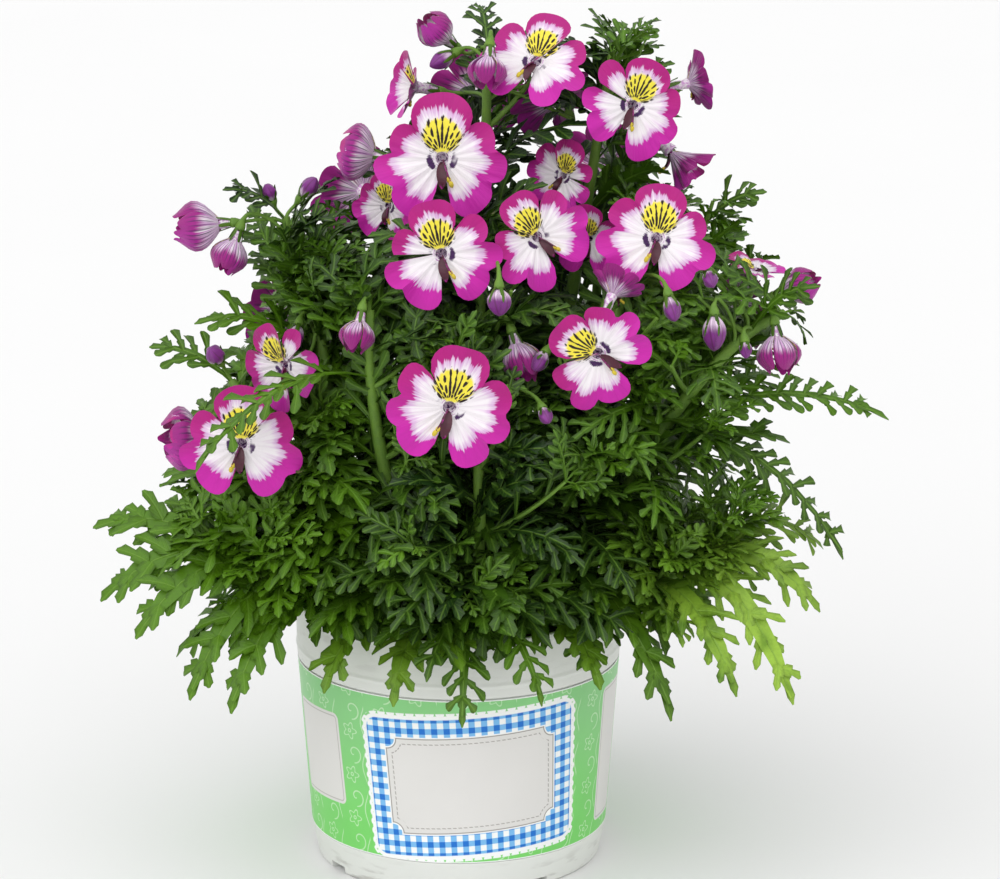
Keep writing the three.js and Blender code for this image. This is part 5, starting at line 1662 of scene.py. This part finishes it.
class OrchidFoliage(PropertyGroup):
    """Numbers and colours of the leaves and stems."""

    fill_count: IntProperty(name="Fill leaves", description="Full-sized leaves tried on each stem", default=26, min=0)
    shoot_count: IntProperty(name="Shoots", description="Side shoots tried on each stem", default=8, min=0)
    shoot_leaves: IntProperty(name="Shoot leaves", description="Leaves tried on each side shoot", default=8, min=2)
    crowding: FloatProperty(name="Crowding", description="Share of a leaf that may pass close to others",
                            default=0.5, min=0, max=1, subtype="FACTOR")
    thickness: FloatProperty(name="Blade thickness", description="Thickness of a leaf's blade in millimetres",
                             default=0.42, min=0.1, max=2.0)
    dark: screen_colour("Dark green", "Colour of shaded leaves", 24, 50, 12)
    bright: screen_colour("Bright green", "Colour of the low left leaves", 78, 120, 10)
    lime: screen_colour("Lime green", "Colour of the low right leaves", 146, 182, 62)
    vein: screen_colour("Vein", "Colour of ribs and veins", 112, 150, 54)
    stalk: screen_colour("Stalk", "Colour of stems and stalks", 104, 142, 56)


class OrchidBlooms(PropertyGroup):
    """Colours of the flowers and buds."""

    rim_high: screen_colour("Rim above", "Magenta of the upper petals", 168, 10, 110)
    rim_low: screen_colour("Rim below", "Magenta of the lower petals", 198, 30, 168)
    white: screen_colour("White", "White of the petals", 240, 234, 238)
    lilac: screen_colour("Lilac", "Feathering inside the rim", 204, 150, 206)
    yellow: screen_colour("Yellow", "Fan on the upper petal", 242, 226, 40)
    mark: screen_colour("Marks", "Dashes on the yellow fan", 34, 16, 22)
    blotch: screen_colour("Blotch", "Dark violet beside the throat", 66, 28, 84)
    keel: screen_colour("Keel", "Maroon of the lip's keel", 70, 6, 34)
    anther: screen_colour("Anthers", "Yellow of the anthers", 214, 192, 60)
    bud: screen_colour("Buds", "Purple of the closed buds", 122, 34, 128)


class OrchidPot(PropertyGroup):
    """Colours of the pot, the print on its wrap and the soil."""

    sides: IntProperty(name="Sides", description="Facets round the pot", default=96, min=32, max=256)
    plastic: screen_colour("Plastic", "White of the pot", 226, 228, 223)
    scuff: screen_colour("Scuffs", "Grey of its scuffs", 178, 177, 171)
    band_low: screen_colour("Band below", "Green of the wrap's foot", 120, 212, 104)
    band_high: screen_colour("Band above", "Green of the wrap's top", 138, 208, 134)
    sprig: screen_colour("Sprigs", "Pale sprigs on the band", 210, 238, 200)
    check_dark: screen_colour("Dark check", "Blue where stripes cross", 14, 112, 205)
    check_light: screen_colour("Light check", "Blue of one stripe", 122, 186, 236)
    white: screen_colour("Print white", "White of the check and lace", 246, 247, 246)
    panel: screen_colour("Panel", "Bare panels of the print", 222, 220, 217)
    stitch: screen_colour("Stitches", "Thread round the panels", 150, 144, 138)
    peat: screen_colour("Peat", "Dark of the soil", 44, 32, 25)
    fibre: screen_colour("Fibres", "Lighter bits in the soil", 104, 80, 60)


class OrchidStage(PropertyGroup):
    """The camera's place and the light."""

    elevation: FloatProperty(name="Elevation", description="How far the camera looks down", unit="ROTATION",
                             default=math.radians(15.07))
    distance: FloatProperty(name="Distance", description="From the camera to its aim", unit="LENGTH", default=1.6)
    lens: FloatProperty(name="Lens", description="Focal length in millimetres", default=157.9)
    aim: FloatVectorProperty(name="Aim", description="The point the camera looks at", unit="LENGTH",
                             default=(0.0153, 0.0, 0.1566))
    sky: FloatProperty(name="Sky", description="Strength of the white surroundings", default=0.82, min=0)
    key: FloatProperty(name="Key light", description="Strength of the light from the upper left", default=1.35)
    fill: FloatProperty(name="Fill light", description="Strength of the light from the right", default=0.1)
    softness: FloatProperty(name="Softness", description="How wide the lights are", unit="ROTATION",
                            default=math.radians(75))


class ORCHID_OT_grow_stems(Operator):
    """Grow the leafy stems with their stalks, sepals and smallest buds"""

    bl_idname = "orchid.grow_stems"
    bl_label = "Grow stems"

    def execute(self, context):
        settings = context.scene.orchid_foliage
        blooms = context.scene.orchid_blooms
        materials = [leaf_material(settings), stalk_material(settings), bud_material(blooms)]
        leaves, shoots = grow_foliage(settings)
        for name, (slot, axes) in STEMS.items():
            form = Form()
            for axis in axes:
                add_stem(form, axis)
            for shoot in shoots:
                if shoot.owner == name:
                    line = along(shoot.path, np.linspace(0, 1, 8))
                    form.shells(tube_rings(line, np.linspace(*shoot.radii, 8), 6), paint=(0.6, 0, 0), finish=1)
            for leaf in leaves:
                if leaf.owner == name:
                    add_leaf(form, leaf, settings.thickness)
            for item, back in ITEMS:
                if item.stem == name:
                    add_stalk(form, item, back)
            for bud in BUDS:
                if bud.stem == name and not is_loose(bud):
                    add_bud(form, bud, 2)
            stand_in(form.piece(f"leafy_stem_{name}", materials), f"stem_{name}")
        return {"FINISHED"}


class ORCHID_OT_open_blooms(Operator):
    """Open the flowers: petals, throat, keel and stamens"""

    bl_idname = "orchid.open_blooms"
    bl_label = "Open flowers"

    def execute(self, context):
        settings = context.scene.orchid_blooms
        materials = [petal_material(settings), throat_material(settings), keel_material(settings),
                     anther_material(settings)]
        for number, bloom in enumerate(BLOOMS):
            piece = bloom_form(bloom, number).piece(f"flower_{bloom.name}", materials)
            stand_in(piece, f"bloom_{bloom.name}")
        return {"FINISHED"}


class ORCHID_OT_set_buds(Operator):
    """Set the larger closed buds on their stalks"""

    bl_idname = "orchid.set_buds"
    bl_label = "Set buds"

    def execute(self, context):
        material = bud_material(context.scene.orchid_blooms)
        for bud in BUDS:
            if is_loose(bud):
                form = Form()
                add_bud(form, bud, 0)
                stand_in(form.piece(f"closed_bud_{bud.name}", [material]), f"bud_{bud.name}")
        return {"FINISHED"}


class ORCHID_OT_turn_pot(Operator):
    """Turn the plastic pot and cut its drain holes and foot notches"""

    bl_idname = "orchid.turn_pot"
    bl_label = "Turn pot"

    def execute(self, context):
        settings = context.scene.orchid_pot
        form = Form()
        form.shells(turned_rings(rounded(pot_profile()), settings.sides))
        pot = form.piece("plastic_pot", [pot_material(settings)])
        tools = []
        circle = np.arange(24) * 15.0
        for i in range(DRAIN["count"]):
            angle = 360 * (i + 0.5) / DRAIN["count"]
            outline = np.column_stack([DRAIN["ring"] * cosine(angle) + DRAIN["radius"] * cosine(circle),
                                       DRAIN["ring"] * sine(angle) + DRAIN["radius"] * sine(circle)])
            tools.append(cutter(f"drain_{i}", outline, (-2, 5)))
        for i in range(FOOT_NOTCH["count"]):
            angle = FOOT_NOTCH["first_angle"] + 360 * i / FOOT_NOTCH["count"]
            half = FOOT_NOTCH["width"] / 2
            near, far = POT["foot_radius"] - FOOT_NOTCH["depth"], POT["foot_radius"] + 4
            across = np.array([-half, half, half, -half])
            out = -np.array([far, far, near, near])
            outline = np.column_stack([across * cosine(angle) - out * sine(angle),
                                       across * sine(angle) + out * cosine(angle)])
            tools.append(cutter(f"notch_{i}", outline, (-2, FOOT_NOTCH["height"])))
        cut_away(pot, tools)
        pot.data.set_sharp_from_angle(angle=math.radians(40))
        stand_in(pot, "pot")
        return {"FINISHED"}


class ORCHID_OT_wrap_pot(Operator):
    """Wrap the pot in its printed sleeve"""

    bl_idname = "orchid.wrap_pot"
    bl_label = "Wrap pot"

    def execute(self, context):
        settings = context.scene.orchid_pot
        columns, rows = settings.sides, 4
        z = np.linspace(WRAP["bottom"], WRAP["top"], rows)
        outside = wall_radius(z) + WRAP["gap"] + WRAP["thickness"]
        inside = wall_radius(z) + WRAP["gap"]
        radius = np.concatenate([outside, inside[::-1]])
        height = np.concatenate([z, z[::-1]])
        angle = (np.arange(columns + 1) / columns - 0.5) * 2 * np.pi
        i, j = np.meshgrid(np.arange(columns), np.arange(2 * rows), indexing="ij")
        next_j = (j + 1) % (2 * rows)
        corners = [(i, j), (i + 1, j), (i + 1, next_j), (i, next_j)]
        quads = np.stack([(a % columns) * 2 * rows + b for a, b in corners], axis=-1).reshape(-1, 4)
        surface = np.stack([np.stack([a / columns, height[b] / 100], axis=-1) for a, b in corners], axis=2)
        points = np.stack([radius * np.sin(angle[:-1, None]), -radius * np.cos(angle[:-1, None]),
                           np.broadcast_to(height, (columns, 2 * rows))], axis=-1).reshape(-1, 3)
        mesh = bpy.data.meshes.new("printed_wrap")
        mesh.from_pydata(points * MM, [], quads.tolist())
        mesh.shade_smooth()
        mesh.set_sharp_from_angle(angle=math.radians(40))
        layer = mesh.uv_layers.new(name="surface")
        layer.data.foreach_set("uv", surface.reshape(-1).astype(np.float32))
        mesh.materials.append(wrap_material(settings))
        wrap = bpy.data.objects.new("printed_wrap", mesh)
        context.scene.collection.objects.link(wrap)
        stand_in(wrap, "label_band")
        return {"FINISHED"}


class ORCHID_OT_fill_soil(Operator):
    """Fill the pot with lumpy soil and loose crumbs"""

    bl_idname = "orchid.fill_soil"
    bl_label = "Fill soil"

    def execute(self, context):
        edge = wall_radius(SOIL["top"] - SOIL["dome"]) - POT["wall"] - 3 * SOIL["gap"]
        top = POT["shoulder_radius"] - POT["wall"] - 2 * SOIL["gap"]
        angle = np.arange(72) * 5.0
        share = np.linspace(1, 0.004, 22)
        x = np.outer(share * top, cosine(angle))
        y = np.outer(share * top, sine(angle))
        lumps = (np.sin(x * 0.31 + 1.3 * np.sin(y * 0.27)) * np.cos(y * 0.36 + np.sin(x * 0.23))
                 + 0.6 * np.sin(x * 0.83 + y * 0.61) * np.cos(y * 0.91 - x * 0.4)
                 + 0.35 * np.sin(x * 1.9) * np.cos(y * 2.1))
        dome = SOIL["top"] - SOIL["dome"] * share ** 3
        z = dome[:, None] + 0.9 * lumps * (1 - share[:, None] ** 8)
        lid = np.stack([x, y, z], axis=-1)
        sides = turned_rings(np.array([
            (0.2, SOIL["bottom"]),
            (wall_radius(SOIL["bottom"]) - POT["wall"] - POT["corner"] - 2 * SOIL["gap"], SOIL["bottom"]),
            (wall_radius(POT["floor"] + POT["corner"]) - POT["wall"] - SOIL["gap"],
             POT["floor"] + POT["corner"] + SOIL["gap"]),
            (wall_radius(POT["wall_top"]) - POT["wall"] - SOIL["gap"], POT["wall_top"]),
            (min(edge, top), SOIL["top"] - SOIL["dome"] - 1.5),
        ]), 72)
        form = Form()
        form.shells(np.concatenate([sides, lid]))
        number = np.arange(CRUMBS)
        out = top * 0.97 * np.sqrt((number + 0.5) / CRUMBS)
        turn = number * GOLDEN_ANGLE
        size = 0.7 + 1.5 * np.abs(np.sin(number * 5.1)) ** 2
        place = np.stack([out * cosine(turn), out * sine(turn), 87.8 - 1.6 * (out / top) ** 3 + 0.2 * size], -1)
        v = np.linspace(0.06, 0.94, 4) * np.pi
        w = np.arange(6) * np.pi / 3
        rough = 1 + 0.25 * np.sin(number[:, None, None] * 3 + 2 * w[None, None] + 4 * v[None, :, None])
        ball = np.stack([np.sin(v)[:, None] * np.cos(w), np.sin(v)[:, None] * np.sin(w) * 0.8,
                         np.broadcast_to(-0.6 * np.cos(v)[:, None], (4, 6))], axis=-1)
        form.shells(place[:, None, None] + ball[None] * (rough * size[:, None, None])[..., None])
        soil = form.piece("potting_soil", [soil_material(context.scene.orchid_pot)])
        stand_in(soil, "soil")
        return {"FINISHED"}


class ORCHID_OT_set_stage(Operator):
    """Set the camera, the floor, the white surroundings and the lights"""

    bl_idname = "orchid.set_stage"
    bl_label = "Set stage"

    def execute(self, context):
        scene = context.scene
        settings = scene.orchid_stage
        camera = bpy.data.objects.new("camera", bpy.data.cameras.new("camera"))
        camera.data.lens = settings.lens
        camera.data.sensor_width = 36
        camera.data.clip_end = 20
        rise = settings.elevation
        aim = np.array(settings.aim)
        camera.location = aim + settings.distance * np.array([0, -math.cos(rise), math.sin(rise)])
        camera.rotation_euler = (math.pi / 2 - rise, 0, 0)
        scene.collection.objects.link(camera)
        scene.camera = camera

        form = Form()
        rings = turned_rings(np.array([(1.0, -2.0), (5000.0, -2.0), (5000.0, -0.05), (1.0, -0.05)]), 64)
        form.shells(rings)
        paint = Paint("pale floor")
        haze = paint.noise(paint.place(), 0.004, 2.0)
        floor = form.piece("floor", [paint.finish(paint.shade((0.86, 0.86, 0.86), 0.99 + haze * 0.02), 0.6)])

        world = bpy.data.worlds.new("white")
        world.use_nodes = True
        world.node_tree.nodes["Background"].inputs["Color"].default_value = (1, 1, 1, 1)
        world.node_tree.nodes["Background"].inputs["Strength"].default_value = settings.sky
        scene.world = world
        lights = (("key", settings.key, (0.3, 0.75, -1.0)), ("fill", settings.fill, (-1.0, 0.5, -0.5)))
        for name, strength, way in lights:
            light = bpy.data.objects.new(name, bpy.data.lights.new(name, "SUN"))
            light.data.energy = strength
            light.data.angle = settings.softness
            flat = math.hypot(way[0], way[1])
            light.rotation_euler = (math.atan2(flat, -way[2]), 0, math.atan2(way[1], way[0]) - math.pi / 2)
            scene.collection.objects.link(light)
        scene.view_settings.view_transform = "Standard"
        return {"FINISHED"}


class ORCHID_PT_sidebar(Panel):
    """Steps and settings of the potted orchid"""

    bl_idname = "ORCHID_PT_sidebar"
    bl_label = "Potted orchid"
    bl_space_type = "VIEW_3D"
    bl_region_type = "UI"
    bl_category = "Orchid"

    def draw(self, context):
        for operator in OPERATORS:
            self.layout.operator(operator.bl_idname)
        for name in GROUPS:
            box = self.layout.box()
            group = getattr(context.scene, name)
            for key in group.bl_rna.properties.keys():
                if key not in ("rna_type", "name"):
                    box.prop(group, key)


GROUPS = {
    "orchid_foliage": OrchidFoliage,
    "orchid_blooms": OrchidBlooms,
    "orchid_pot": OrchidPot,
    "orchid_stage": OrchidStage,
}
OPERATORS = (ORCHID_OT_set_stage, ORCHID_OT_turn_pot, ORCHID_OT_wrap_pot, ORCHID_OT_fill_soil,
             ORCHID_OT_grow_stems, ORCHID_OT_open_blooms, ORCHID_OT_set_buds)


def register():
    for group in (*GROUPS.values(), *OPERATORS, ORCHID_PT_sidebar):
        bpy.utils.register_class(group)
    for name, group in GROUPS.items():
        setattr(bpy.types.Scene, name, PointerProperty(type=group))


def unregister():
    for name in GROUPS:
        delattr(bpy.types.Scene, name)
    for group in reversed((*GROUPS.values(), *OPERATORS, ORCHID_PT_sidebar)):
        bpy.utils.unregister_class(group)


def main():
    register()
    for operator in OPERATORS:
        group, name = operator.bl_idname.split(".")
        getattr(getattr(bpy.ops, group), name)()
    bpy.context.view_layer.update()


if __name__ == "__main__":
    main()
